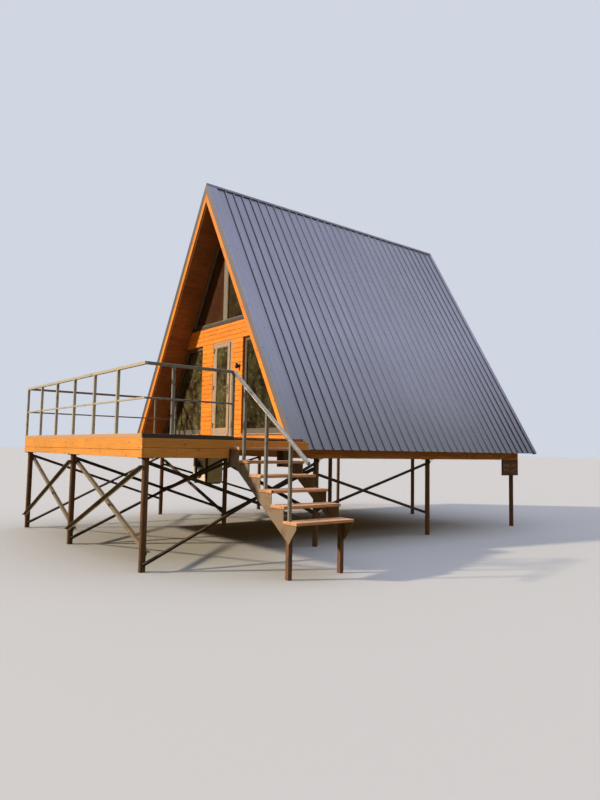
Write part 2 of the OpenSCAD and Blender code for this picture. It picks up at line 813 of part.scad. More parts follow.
function tread_x(k) = deck_right + stair_start + (k - 2) * going;
function tread_z(k) = fascia_z - first_drop - (k - 1) * step_h;
function tread_under(k) = tread_z(k) - tread_t;

// The first tread butts against the fascia
module stair_treads() {
    color([0.75, 0.5, 0.36]) for (k = [1 : treads])
        block([max(tread_x(k), deck_right + fit), stair_y0, tread_under(k)],
            [tread_x(k) + tread_d, stair_y1, tread_z(k)]);
}

// A plate cut in teeth, level under each tread and upright behind it, with a deeper head
module stringer_outline() {
    head_x = deck_right - rim_in + fit;
    head_z = tread_under(1) - stringer_head;
    foot_x = tread_x(treads) + going * 0.45;
    slope = step_h / going;
    function teeth_z(x) = tread_under(2) - (x - tread_x(2)) * slope;
    teeth = [for (k = [2 : treads]) each
        [[tread_x(k), tread_under(k - 1)], [tread_x(k), tread_under(k)]]];
    end = tread_x(treads + 1);
    polygon(concat([[head_x, tread_under(1)]], teeth, [[end, tread_under(treads)],
        [end, tread_under(treads) - tread_t], [foot_x, teeth_z(foot_x) - stringer_tail],
        [head_x + stringer_head_w, head_z], [head_x, head_z]]));
}

module stair_stringers() {
    color([0.42, 0.36, 0.3]) for (y = [stair_y0 + stringer_in, stair_y1 - stringer_in - stringer_t])
        run_y(y, y + stringer_t) stringer_outline();
}

// Posts under the rim of the deck, behind the heads of the stringers
module stair_hangers() {
    color([0.5, 0.35, 0.2]) for (y = [stair_y0, stair_y1 - hanger_w])
        block([inner_right, y + fit, tread_under(1) - stringer_head],
            [deck_right - rim_in, y + hanger_w, deck_joist_z]);
}

module stair_feet() {
    x = tread_x(treads) + going * 0.3;
    inner = stringer_in + stringer_t + fit;
    color([0.4, 0.33, 0.27]) for (y = [stair_y0 + inner, stair_y1 - inner - foot_w])
        block([x - foot_w / 2, y, 0], [x + foot_w / 2, y + foot_w, tread_under(treads)]);
}

// Sloping rail in line with the side railing, with posts on every other tread
module handrail() {
    x0 = right_line + post_w / 2 + fit;
    y = deck_y + side_post_2;
    z0 = rail_z - post_w / 2;
    drop = post_w / 2 / cos(handrail_slope);
    function rail_mid(x) = z0 - (x - x0) * tan(handrail_slope);
    x1 = x0 + handrail_run;
    color([0.55, 0.55, 0.54]) run_y(y - post_w / 2, y + post_w / 2) {
        polygon([[x0, rail_mid(x0) + drop], [x1, rail_mid(x1) + drop],
                 [x1, rail_mid(x1) - drop], [x0, rail_mid(x0) - drop]]);
        for (k = [2 : 2 : treads]) {
            x = tread_x(k) + handrail_in;
            translate([x - post_w / 2, tread_z(k)]) square([post_w, rail_mid(x) - tread_z(k)]);
        }
    }
}

// Piles and braces

pile_r = pile_dia / 2;
pile_top = beam_z;
house_pile_x = frame_half - pile_in;
house_rows = [0, (house_len - 2 * row_in) / 2, house_len - 2 * row_in];
deck_pile_y = deck_y + deck_pile_in;
deck_pile_x = [deck_right - deck_pile_right, deck_right - deck_pile_right - deck_pile_step,
    deck_left + deck_pile_left];

module pile(x, y, top) {
    translate([x, y, 0]) {
        cylinder(h = top - plate_t, r = pile_r);
        translate([-plate_w / 2, -plate_w / 2, top - plate_t]) cube([plate_w, plate_w, plate_t]);
    }
}

module deck_piles() {
    color([0.35, 0.26, 0.2]) for (x = deck_pile_x) pile(x, deck_pile_y, fascia_low);
}

module house_piles() {
    color([0.35, 0.26, 0.2]) for (x = [-house_pile_x, 0, house_pile_x], y = house_rows)
        pile(x, y, pile_top);
}

// Angle from the axis of one pile to that of another, lying on the side of both
module brace(from, to, side) {
    level = [to[0] - from[0], to[1] - from[1]];
    run = norm(level);
    rise = to[2] - from[2];
    spare = 25;
    translate(from) rotate([0, 0, atan2(level[1], level[0])]) rotate([0, -atan2(rise, run), 0])
        scale([1, side, 1]) translate([0, pile_r + fit, 0])
            run_x(-spare, norm([run, rise]) + spare)
                polygon([[0, -angle_w / 2], [angle_t, -angle_w / 2], [angle_t, angle_w / 2 - angle_t],
                         [angle_w, angle_w / 2 - angle_t], [angle_w, angle_w / 2], [0, angle_w / 2]]);
}

// Crossed angles between two piles, one on each side of them
module crossed(a, b, a_top, b_top, a_low, b_low) {
    brace([a[0], a[1], a_top], [b[0], b[1], b_low], 1);
    brace([a[0], a[1], a_low], [b[0], b[1], b_top], -1);
}

module front_braces() {
    color([0.45, 0.36, 0.28]) for (k = [0, 1])
        crossed([deck_pile_x[k], deck_pile_y], [deck_pile_x[k + 1], deck_pile_y],
            fascia_low - front_brace_drop, fascia_low - front_brace_drop, front_brace_low, front_brace_low);
}

module cross_braces() {
    house_x = [house_pile_x, 0, -house_pile_x];
    top = fascia_low - cross_brace_drop;
    color([0.3, 0.25, 0.2]) for (k = [0 : 2])
        crossed([deck_pile_x[k], deck_pile_y], [house_x[k], 0], top, top - angle_t,
            cross_brace_low, cross_brace_foot);
}

module house_braces() {
    row = house_rows[1];
    color([0.3, 0.25, 0.2]) for (side = [-1, 1]) {
        crossed([side * house_pile_x, 0], [0, 0],
            pile_top - gable_brace_drop, pile_top - gable_brace_drop, gable_brace_foot, gable_brace_low);
        crossed([side * house_pile_x, 0], [side * house_pile_x, row],
            pile_top - side_brace_drop, pile_top - side_brace_rise, side_brace_foot, side_brace_low);
    }
}

// Air unit hung under the floor

unit_top = frame_z - joist_d - unit_drop;
unit_low = unit_top - unit_h;
fan_r = 210;
fan_in = 50;
fan_well = 60;
fan_x = -unit_x - unit_w / 2 + fan_r + fan_in;

module air_unit() {
    color([0.78, 0.74, 0.66]) difference() {
        block([-unit_x - unit_w / 2, unit_y, unit_low], [-unit_x + unit_w / 2, unit_y + unit_d, unit_top]);
        translate([fan_x, unit_y - 1, unit_low + unit_h / 2]) rotate([-90, 0, 0])
            cylinder(h = fan_well + 1, r = fan_r);
    }
}

// Rings and spokes over the fan opening, with the hub behind them
module air_unit_fan() {
    ring_w = 6;
    bars = 8;
    rings = 5;
    translate([fan_x, unit_y + ring_w, unit_low + unit_h / 2]) rotate([-90, 0, 0]) color([0.2, 0.2, 0.2]) {
        for (k = [1 : rings]) difference() {
            cylinder(h = ring_w, r = (fan_r - fit) * k / rings);
            translate([0, 0, -1]) cylinder(h = ring_w + 2, r = (fan_r - fit) * k / rings - ring_w);
        }
        for (k = [0 : bars - 1]) rotate([0, 0, k * 360 / bars])
            translate([0, -ring_w / 2, 0]) cube([fan_r - ring_w / 2, ring_w, ring_w]);
        cylinder(h = ring_w, r = fan_r / rings - 1);
    }
}

// Two closed frames round the unit, each under a bar that spans the joists
module air_unit_hangers() {
    bar = 40;
    top = frame_z - joist_d;
    reach = joist_step;
    mid = unit_y + unit_d / 2;
    for (side = [-1, 1]) color([0.3, 0.27, 0.24]) {
        x = -unit_x + side * unit_w * 0.3;
        for (y = [unit_y - bar - fit, unit_y + unit_d + fit])
            block([x - bar / 2, y, unit_low - bar], [x + bar / 2, y + bar, top - bar / 2]);
        block([x - bar / 2, mid - reach, top - bar], [x + bar / 2, mid + reach, top]);
        block([x - bar / 2, unit_y - bar, unit_low - bar], [x + bar / 2, unit_y + unit_d + bar, unit_low]);
    }
}

// Boards that close the gap under the right side beam at its rear end
module corner_skirt() {
    skirt_l = 565;
    skirt_h = 340;
    board_t = 19;
    board_gap = 2;
    boards = 3;
    board_h = skirt_h / boards;
    batten_w = 35;
    top = beam_z - fit;
    color([0.45, 0.3, 0.18]) {
        for (k = [1 : boards])
            block([frame_half - board_t, rear_y - skirt_l, top - k * board_h + board_gap],
                [frame_half, rear_y, top - (k - 1) * board_h]);
        for (y = [rear_y - skirt_l, rear_y - batten_w])
            block([frame_half - 2 * board_t, y, top - skirt_h + board_gap],
                [frame_half - board_t, y + batten_w, top]);
    }
}

roof_sheet_right();
roof_sheet_left();
ridge_cap();
front_flashings();
rear_flashings();
roof_panel_right();
roof_panel_left();
front_bargeboards();
rear_bargeboards();
floor_boards();
floor_joists();
side_beams();
end_beams();
spine_beam();
loft_floor();
column_left();
column_right();
wall_band();
sill_walls();
rear_wall();
side_window_frame_left();
side_window_frame_right();
side_glass();
upper_window_frame();
upper_glass();
door_frame();
door_leaf();
door_glass();
door_handle();
leaf_hinges();
frame_hinges();
wall_lamp();
deck_boards();
deck_joists();
deck_rims();
deck_beam();
fascia_front();
fascia_right();
fascia_left();
edge_rail();
railing_front();
railing_right();
railing_left();
stair_stringers();
stair_treads();
stair_hangers();
stair_feet();
handrail();
deck_piles();
house_piles();
front_braces();
cross_braces();
house_braces();
air_unit();
air_unit_fan();
air_unit_hangers();
corner_skirt();
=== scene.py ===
"""The looks of an A-frame cabin on steel piles: boards, roof sheets, glass, steel and their finishes."""
import math
import random

import bmesh
import bpy
from mathutils import Matrix, Vector


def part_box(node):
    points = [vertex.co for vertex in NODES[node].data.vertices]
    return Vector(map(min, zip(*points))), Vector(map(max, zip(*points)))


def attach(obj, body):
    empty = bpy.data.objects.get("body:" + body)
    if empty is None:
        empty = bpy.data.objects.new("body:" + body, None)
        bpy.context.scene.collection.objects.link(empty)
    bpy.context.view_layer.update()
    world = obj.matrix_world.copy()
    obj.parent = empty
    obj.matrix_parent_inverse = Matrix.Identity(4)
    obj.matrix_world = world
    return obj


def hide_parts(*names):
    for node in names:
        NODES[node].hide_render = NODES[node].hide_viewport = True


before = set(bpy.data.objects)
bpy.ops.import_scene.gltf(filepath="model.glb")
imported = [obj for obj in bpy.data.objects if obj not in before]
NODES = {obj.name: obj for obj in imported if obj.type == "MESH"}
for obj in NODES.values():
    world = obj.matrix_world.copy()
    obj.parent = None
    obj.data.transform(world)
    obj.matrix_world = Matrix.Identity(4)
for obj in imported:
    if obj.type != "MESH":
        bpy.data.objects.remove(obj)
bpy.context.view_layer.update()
SCENE = bpy.context.scene
draw = random.Random(11)

X = Vector((1, 0, 0))
Y = Vector((0, 1, 0))
Z = Vector((0, 0, 1))

# Camera, solved from the photograph: its place, and its turn, tilt and roll
CAMERA_AT = Vector((10.9125, -6.7003, 1.5865))
CAMERA_TURN = 0.904078
CAMERA_TILT = 0.0789486
CAMERA_ROLL = 0.01846
LENS = 28.149
SENSOR = 36

# Studio: the sun, the backdrop and floor, and the sky's light at shares of its height
KEY_FROM = Vector((-0.418, -0.787, 0.454))
KEY_STRENGTH = 5.5
KEY_WIDTH = math.radians(3)
KEY_COLOUR = (1.0, 0.84, 0.64)
BACKDROP = (208, 214, 226)
FLOOR_COLOUR = (158, 157, 152)
FLOOR_REACH = 300
FLOOR_DROP = 0.001
GROUND_LIGHT = (0.10, 0.08, 0.045, 1)
TREE_LIGHT = (0.06, 0.06, 0.03, 1)
SKY_LIGHT = (0.86, 0.88, 1.0, 1)
ZENITH_LIGHT = (0.62, 0.7, 1.0, 1)
SKY_BANDS = ((0.5, GROUND_LIGHT), (0.51, TREE_LIGHT), (0.76, TREE_LIGHT), (0.83, SKY_LIGHT),
             (1.0, ZENITH_LIGHT))
SKY_STRENGTH = 2.2
SKY_AXIS = (-0.12, 0.2, 0.97)

# Roof. Depths count from the tops of its ribs, and lengths along a slope from the ridge. The first rib's
# middle is so far behind the front verge, and the bargeboards of each side butt so far down
PITCH = math.radians(60)
SINE = math.sin(PITCH)
COSINE = math.cos(PITCH)
RIB = 0.02
SHEET = 0.0015
FIT = 0.0003
UNDER_SHEET = RIB + SHEET + FIT
RIB_STEP = 0.207
FIRST_RIB = 0.216
RIBS = 32
RIDGE_PLAY = 0.0015
LINING = 0.2165
LINING_BOARD = 0.018
LINING_TRIM = 0.022
BARGE_W = 0.168
BARGE_JOINTS = ((-1, 2.65), (1, 4.32))
VERGE_LEG = 0.05
VERGE_STRIP = 0.1
BATTEN_STEP = 0.5

# Boards
CLADDING_W = 0.096
CLADDING_T = 0.02
BOARD_EDGE = 0.003
CLADDING_EDGE = 0.005
CLADDING_GAP = 0.003
PLANK_STEP = 0.145
PLANK_GAP = 0.005
FRONT_SEAM = 0.38
BOARD_SCREW = 0.0045
SCREW_STEP = 0.6

# Windows and door
WINDOW_BAR = 0.06
WINDOW_FOOT = 0.085
MULLION = 0.137
PANE_BITE = 0.012

# Railing, stair and piles. The right railing's post stands so far from its front end, and a handrail's post
# so far before the back edge of its tread
TUBE = 0.04
POST_STEP = 0.892
RIGHT_POST = 0.418
MIDDLE_RAIL = 0.512
GOING = 0.261
RISE = 0.18
TREADS = 6
TREAD_DEEP = 0.28
TREAD_THICK = 0.04
FIRST_TREAD = 0.196
HANDRAIL_POST = 0.105
WELD = 0.0035
PLATE_HALF = 0.08
DECK_PILE_STEP = 2.76
HOUSE_PILE_STEP = 2.8

# Colours of the roof with its painted shade and light, the edge rail's darker right end, and the glass with
# its painted reflection, from 0 to 255
ROOF_DARK = (134, 135, 151)
ROOF_PALE = (149, 150, 167)
ROOF_DUSTY = (156, 155, 168)
ROOF_LOW_SHADE = (98, 99, 99)
ROOF_FLANK_SHADE = (50, 51, 64)
ROOF_FLANK_LIT = (180, 180, 192)
ROOF_LEG_SHADE = (92, 84, 84)
ROOF_SPECK = (176, 172, 168)
EDGE_DARK_END = (62, 54, 50)
GLASS_DARK = (43, 31, 20)
GLASS_REFLECTION_GREEN = (82, 79, 50)
GLASS_REFLECTION_PALE = (136, 130, 100)
GLASS_REFLECTION_BROWN = (66, 37, 26)

SHARP = math.radians(34)


def low(node):
    """The lowest corner of a CAD node's box"""
    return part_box(node)[0]


def high(node):
    """The highest corner of a CAD node's box"""
    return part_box(node)[1]


# Places that the pieces share, read from the CAD model
EAVE_X = high("roof_sheet_right").x
EAVE_Z = low("roof_sheet_right").z + (RIB + SHEET) * COSINE
RIDGE_Z = EAVE_Z + EAVE_X * math.tan(PITCH)
SLOPE = EAVE_X / COSINE
ROOF_Y0 = low("front_bargeboards").y
ROOF_Y1 = high("rear_bargeboards").y
WALL_Y0 = low("wall_band").y
FLOOR_Z = high("floor_boards").z
FRAME_Z = low("floor_boards").z
VERGE_FOOT_Z = low("front_flashings").z
FIRST_RIB_Y = ROOF_Y0 + FIRST_RIB
EDGE_DARK_END_X = high("edge_rail").x - 0.03


# Outlines and places

def half_at(z, depth):
    """Half width of the roof at a height, and at a depth under the tops of its ribs"""
    return (RIDGE_Z - z) / math.tan(PITCH) - depth / SINE


def room(z):
    """Half width of the room under the lining at a height"""
    return half_at(z, LINING) - FIT


def place(u, v, w, origin=(0, 0, 0)):
    """The matrix that lays outline axes u and v and depth axis w in the cabin's own axes"""
    made = Matrix((u, v, w)).transposed().to_4x4()
    made.translation = Vector(origin)
    return made


def facing(at, out):
    """The matrix of a small part that stands at a point and faces out"""
    w = Vector(out).normalized()
    u = w.orthogonal().normalized()
    return place(u, w.cross(u), w, at)


GABLE = place(X, Z, Y)
SIDE = place(Y, Z, X)
FLAT_X = place(X, Y, Z)
FLAT_Y = place(Y, X, Z)


def down(side):
    """The direction down one slope of the roof"""
    return Vector((side * COSINE, 0, -SINE))


def inward(side):
    """The direction from one slope of the roof into the room"""
    return Vector((-side * SINE, 0, -COSINE))


def on_slope(side, along, depth, y):
    """A point of the roof: so far down from the ridge, so deep under the ribs, and at y"""
    return Vector((0, y, RIDGE_Z)) + along * down(side) + depth * inward(side)


def rectangle(u0, v0, u1, v1):
    return [(u0, v0), (u1, v0), (u1, v1), (u0, v1)]


def polar(radius, angle):
    return radius * math.cos(angle), radius * math.sin(angle)


def circle(radius, sides):
    return [polar(radius, 2 * math.pi * k / sides) for k in range(sides)]


def rounded(width, height, radius):
    """A rectangle about the middle with round corners"""
    steps = 4
    points = []
    for k, (sx, sy) in enumerate(((1, 1), (-1, 1), (-1, -1), (1, -1))):
        for step in range(steps + 1):
            u, v = polar(radius, math.pi / 2 * (k + step / steps))
            points.append((sx * (width / 2 - radius) + u, sy * (height / 2 - radius) + v))
    return points


def inset(outline, by):
    """A convex outline with each of its edges moved in; points run either way round"""
    area = sum(a[0] * b[1] - b[0] * a[1] for a, b in zip(outline, outline[1:] + outline[:1]))
    turn = math.copysign(1, area)
    moved = []
    for k, b in enumerate(outline):
        a = outline[k - 1]
        c = outline[(k + 1) % len(outline)]
        first = Vector((a[1] - b[1], b[0] - a[0])).normalized() * turn
        second = Vector((b[1] - c[1], c[0] - b[0])).normalized() * turn
        cross = first.x * second.y - first.y * second.x
        moved.append((b[0] + by * (second.y - first.y) / cross, b[1] + by * (first.x - second.x) / cross))
    return moved


def spread(first, last, step):
    """Places from the first to the last, evenly and about a step apart"""
    count = max(1, round((last - first) / step))
    return [first + (last - first) * k / count for k in range(count + 1)]


def rows(start, end, width):
    """Splits a length in boards that are about as wide as given"""
    edges = spread(start, end, width)
    return list(zip(edges, edges[1:]))


def added(name, data):
    """A new object in the scene"""
    made = bpy.data.objects.new(name, data)
    SCENE.collection.objects.link(made)
    return made


class Shape:
    """One piece under way: prisms, turned solids and bars, with the grain and tone that wood looks read"""

    def __init__(self):
        self.bm = bmesh.new()
        self.grain = self.bm.verts.layers.float_vector.new("grain")
        self.tone = self.bm.verts.layers.float.new("tone")
        self.start_board()

    def start_board(self):
        """Gives what follows a grain and a tone of its own"""
        self.offset = Vector([draw.uniform(0, 40) for _ in range(3)])
        self.shade = draw.random()

    def vert(self, at, grain):
        made = self.bm.verts.new(at)
        made[self.grain] = Vector(grain) + self.offset
        made[self.tone] = self.shade
        return made

    def close(self, loops, around=False):
        """Faces between loops of equal length, with a face on each end unless they run around"""
        count = len(loops[0])
        pairs = list(zip(loops, loops[1:]))
        if around:
            pairs.append((loops[-1], loops[0]))
        for lower, upper in pairs:
            for k in range(count):
                n = (k + 1) % count
                self.bm.faces.new((lower[k], lower[n], upper[n], upper[k]))
        if not around:
            self.bm.faces.new(loops[0][::-1])
            self.bm.faces.new(loops[-1])

    def skin(self, rings, where):
        """A closed skin over outlines at heights"""
        self.close([[self.vert(where @ Vector((u, v, w)), (u, v, w)) for u, v in outline]
                    for outline, w in rings])

    def prism(self, outline, where, w0, w1, edge):
        """A board: a convex outline from one depth to another, with its edges eased"""
        self.start_board()
        small = inset(outline, edge)
        self.skin([(small, w0), (outline, w0 + edge), (outline, w1 - edge), (small, w1)], where)

    def box(self, lo, hi, edge):
        """A block between two corners, with its grain along x"""
        self.prism(rectangle(lo[0], lo[1], hi[0], hi[1]), FLAT_X, lo[2], hi[2], edge)

    def ring(self, outline, width, y0, y1, edge):
        """Mitred bars along the inside of a convex outline in a gable"""
        small = inset(outline, width)
        count = len(outline)
        for k in range(count):
            n = (k + 1) % count
            self.prism([outline[k], outline[n], small[n], small[k]], GABLE, y0, y1, edge)

    def turned(self, profile, where, sides=20):
        """A solid of revolution: radii at heights"""
        self.start_board()
        self.skin([(circle(radius, sides), height) for radius, height in profile], where)

    def sweep(self, path, section, lift, around=False):
        """Runs a section along a path; lift is the normal of the plane that the path lies in"""
        self.start_board()
        count = len(path)
        loops = []
        length = 0
        for k, at in enumerate(path):
            before = path[k - 1] if k or around else at
            after = path[(k + 1) % count] if k < count - 1 or around else at
            ahead = (after - before).normalized()
            aside = ahead.cross(lift).normalized()
            up = aside.cross(ahead)
            length += (at - before).length if k else 0
            loops.append([self.vert(at + a * aside + b * up, (length, a, b)) for a, b in section])
        self.close(loops, around=around)

    def screw(self, at, out):
        """The head of a countersunk screw"""
        radius, tall = BOARD_SCREW, 0.0008
        self.turned([(radius, -tall), (radius, tall * 0.4), (radius * 0.8, tall), (radius * 0.3, tall * 0.7)],
                    facing(at, out), 8)

    def bolt(self, at, out, radius, tall):
        """A hexagon head on its washer"""
        where = facing(at, out)
        self.turned([(radius * 1.5, 0), (radius * 1.5, tall * 0.25), (radius * 1.4, tall * 0.3)], where, 16)
        self.turned([(radius, tall * 0.2), (radius, tall * 0.85), (radius * 0.85, tall)], where, 6)

    def finish(self, name, look, body="cabin", stands_for=()):
        bmesh.ops.recalc_face_normals(self.bm, faces=self.bm.faces)
        mesh = bpy.data.meshes.new(name)
        self.bm.to_mesh(mesh)
        self.bm.free()
        mesh.shade_smooth()
        mesh.set_sharp_from_angle(angle=SHARP)
        mesh.materials.append(look)
        piece = added(name, mesh)
        if stands_for:
            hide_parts(*stands_for)
        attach(piece, body)


# Looks

def srgb(red, green, blue):
    """A colour as a screen shows it, from 0 to 255, as the linear colour that shaders take"""
    def linear(value):
        value /= 255
        return value / 12.92 if value <= 0.04045 else ((value + 0.055) / 1.055) ** 2.4
    return (linear(red), linear(green), linear(blue), 1)


class Nodes:
    """A node tree, with a short call that makes a node in it"""

    def __init__(self, tree):
        self.tree = tree

    def feed(self, socket, value):
        """Links an output to an input, or sets the input to a plain value"""
        if isinstance(value, bpy.types.NodeSocket):
            self.tree.links.new(value, socket)
        else:
            socket.default_value = value

    def node(self, kind, inputs=(), **settings):
        """A node with its settings, and its inputs fed by name or number"""
        made = self.tree.nodes.new(kind)
        for name, value in settings.items():
            setattr(made, name, value)
        for name, value in dict(inputs).items():
            self.feed(made.inputs[name], value)
        return made


class Look(Nodes):
    """One material. A colour is an output or three numbers from 0 to 255"""

    def __init__(self, name, metallic=0.0, specular=0.5, coat=0.0, alpha=1.0):
        self.material = bpy.data.materials.new(name)
        self.material.use_nodes = True
        super().__init__(self.material.node_tree)
        self.shader = self.tree.nodes["Principled BSDF"]
        self.shader.inputs["Metallic"].default_value = metallic
        self.shader.inputs["Specular IOR Level"].default_value = specular
        self.shader.inputs["Coat Weight"].default_value = coat
        self.shader.inputs["Alpha"].default_value = alpha
        self.at = self.node("ShaderNodeTexCoord").outputs["Object"]

    def attribute(self, name, output):
        return self.node("ShaderNodeAttribute", attribute_name=name).outputs[output]

    def scaled(self, vector, scale):
        return self.node("ShaderNodeMapping", {"Vector": vector, "Scale": scale}).outputs[0]

    def split(self, vector):
        return self.node("ShaderNodeSeparateXYZ", {0: vector}).outputs

    def noise(self, vector, scale=1.0, detail=3.0, rough=0.55):
        return self.node("ShaderNodeTexNoise", {"Vector": vector, "Scale": scale, "Detail": detail,
                                                "Roughness": rough}).outputs[0]

    def spots(self, vector, scale, level, **settings):
        """Scattered spots: the distance from their middles, and 1 in a spot that is over the level"""
        cell = self.node("ShaderNodeTexVoronoi", {"Vector": vector, "Scale": scale}, **settings)
        chance = self.split(cell.outputs["Color"])[0]
        return cell.outputs["Distance"], self.math("GREATER_THAN", chance, level)

    def math(self, kind, a, b=0.0, c=0.0):
        return self.node("ShaderNodeMath", {0: a, 1: b, 2: c}, operation=kind).outputs[0]

    def times(self, a, b):
        return self.math("MULTIPLY", a, b)

    def range(self, value, start, end, to_start=0.0, to_end=1.0):
        return self.node("ShaderNodeMapRange", {"Value": value, "From Min": start, "From Max": end,
                                                "To Min": to_start, "To Max": to_end}).outputs[0]

    def colour(self, value):
        return value if isinstance(value, bpy.types.NodeSocket) else srgb(*value)

    def mix(self, share, a, b):
        return self.node("ShaderNodeMix", {0: share, 6: self.colour(a), 7: self.colour(b)},
                         data_type="RGBA").outputs[2]

    def toned(self, colour, value):
        return self.node("ShaderNodeHueSaturation", {"Color": colour, "Value": value}).outputs[0]

    def bump(self, height, distance, below=None):
        inputs = {"Height": height, "Distance": distance, "Strength": 1.0}
        if below:
            inputs["Normal"] = below
        return self.node("ShaderNodeBump", inputs).outputs[0]

    def done(self, colour, rough, normal=None):
        self.feed(self.shader.inputs["Base Color"], self.colour(colour))
        self.feed(self.shader.inputs["Roughness"], rough)
        if normal:
            self.feed(self.shader.inputs["Normal"], normal)
        return self.material


def wood(name, pale, deep, knot, axis="grain", rough=0.5, coat=0.0, contrast=1.0, variety=0.3):
    """Sawn softwood. The grain runs along the piece's own boards, or along one axis of a CAD node"""
    look = Look(name, specular=0.35, coat=coat)
    if axis == "grain":
        grain = look.attribute("grain", "Vector")
        tone = look.attribute("tone", "Fac")
    else:
        x, y, z = look.split(look.at)
        order = {"X": (x, y, z), "Y": (y, x, z), "Z": (z, x, y)}[axis]
        grain = look.node("ShaderNodeCombineXYZ", dict(enumerate(order))).outputs[0]
        tone = look.noise(look.scaled(grain, (0.1, 3.0, 3.0)), detail=0)
    fibre = look.noise(look.scaled(grain, (2.5, 110, 110)), detail=4, rough=0.65)
    figure = look.noise(look.scaled(grain, (0.55, 8, 8)), detail=1.5)
    bands = look.math("SINE", look.times(figure, 70))
    streak = look.math("MULTIPLY_ADD", bands, 0.22 * contrast, look.times(fibre, 0.9))
    colour = look.mix(look.range(streak, 0.2, 0.75), deep, pale)
    far, picked = look.spots(look.scaled(grain, (3.2, 8.6, 1)), 1.0, 0.52, voronoi_dimensions="2D")
    ragged = look.math("MULTIPLY_ADD", fibre, 0.05, far)
    halo = look.times(look.range(ragged, 0.09, 0.24, 0.45, 0), picked)
    heart = look.times(look.range(ragged, 0.075, 0.11, 1, 0), picked)
    colour = look.mix(heart, look.mix(halo, colour, deep), knot)
    blotch = look.noise(look.at, scale=1.7)
    value = look.math("MULTIPLY_ADD", tone, variety, 1 - variety / 2)
    colour = look.toned(colour, look.times(value, look.range(blotch, 0.3, 0.7, 0.9, 1.08)))
    rough = look.range(streak, 0.2, 0.8, rough + 0.12, rough - 0.08)
    return look.done(colour, rough, look.bump(streak, 0.0007))


def wood_pair(name, pale, deep, knot, rough):
    """One kind of wood twice, for CAD nodes along x and along y"""
    return [wood(name + axis.lower(), pale, deep, knot, axis=axis, rough=rough) for axis in "XY"]


def rib_flank_shade_and_light(look, y, z):
    """Share and colour of the paint on the ribs' flanks, which stands in for their light: painted shade in
    front, low down and near the rear foot, and painted light that makes them paler elsewhere"""
    turn = look.math("DIVIDE", look.math("SUBTRACT", y, FIRST_RIB_Y), RIB_STEP)
    off = look.math("ABSOLUTE", look.math("SUBTRACT", turn, look.math("ROUND", turn)))
    off = look.times(off, RIB_STEP)
    rear_foot_shade = look.times(look.range(y, 4.2, 5.8), look.range(z, 4.2, 2.2))
    wide = look.times(off, look.range(rear_foot_shade, 0, 1, 1, 0.55))
    flank = look.times(look.range(off, 0.0105, 0.0125), look.range(wide, 0.022, 0.030, 1, 0))
    lit_flank = look.times(look.range(y, 0.3, 2.6), look.range(y, 4.0, 6.0, 1, 0.3))
    lit_flank = look.times(lit_flank, look.range(z, 1.5, 2.6, 0.3, 1))
    lit_flank = look.times(lit_flank, look.range(rear_foot_shade, 0, 1, 1, 0))
    return look.times(flank, 0.86), look.mix(lit_flank, ROOF_FLANK_SHADE, ROOF_FLANK_LIT)


def roof_paint(name, ribs):
    """Dark grey coated sheet with dust and run-down streaks. Painted shade darkens the flanks of ribbed
    sheets and the turned-down legs of flat ones, the eaves, and the left side, which the sun lights; painted
    light makes the rear flanks paler and shifts the tone by height"""
    look = Look(name, metallic=0.2)
    x, y, z = look.split(look.at)
    streak = look.noise(look.scaled(look.at, (0.5, 16, 0.3)), detail=4)
    cloud = look.noise(look.at, scale=0.55, detail=4)
    colour = look.mix(look.range(streak, 0.3, 0.7), ROOF_DARK, ROOF_PALE)
    colour = look.mix(look.range(cloud, 0.35, 0.7, 0, 0.35), colour, ROOF_DUSTY)
    # Painted shade: the sheet darkens towards the eaves
    colour = look.mix(look.range(z, 4.0, 1.7, 0, 0.8), colour, ROOF_LOW_SHADE)
    if ribs:
        # Painted shade and light on the ribs' flanks
        share, mark_colour = rib_flank_shade_and_light(look, y, z)
        colour = look.mix(share, colour, mark_colour)
    else:
        # Painted shade on the flashings' turned-down legs
        middle = (ROOF_Y0 + ROOF_Y1) / 2
        far = look.math("ABSOLUTE", look.math("SUBTRACT", y, middle))
        reach = high("rear_flashings").y - middle
        colour = look.mix(look.range(far, reach - 0.0012, reach - 0.0008), colour, ROOF_LEG_SHADE)
    far, picked = look.spots(look.at, 26.0, 0.8)
    dust = look.times(look.range(far, 0.1, 0.16, 0.5, 0), picked)
    colour = look.mix(dust, colour, ROOF_SPECK)
    # Painted shade: the left slope, which the sun lights, is painted darker
    left_slope_shade = look.range(x, -0.1, 0.0, 0.62, 1)
    # Painted light and shade by height: the tone is raised low on the slope and lowered towards the ridge
    colour = look.toned(colour, look.times(left_slope_shade, look.range(z, 3.0, 6.2, 1.14, 0.93)))
    ripple = look.noise(look.at, scale=1.6, detail=1)
    fine = look.noise(look.at, scale=900, detail=1)
    normal = look.bump(fine, 0.00004, look.bump(ripple, 0.006))
    return look.done(colour, look.range(cloud, 0.3, 0.7, 0.5, 0.62), normal)


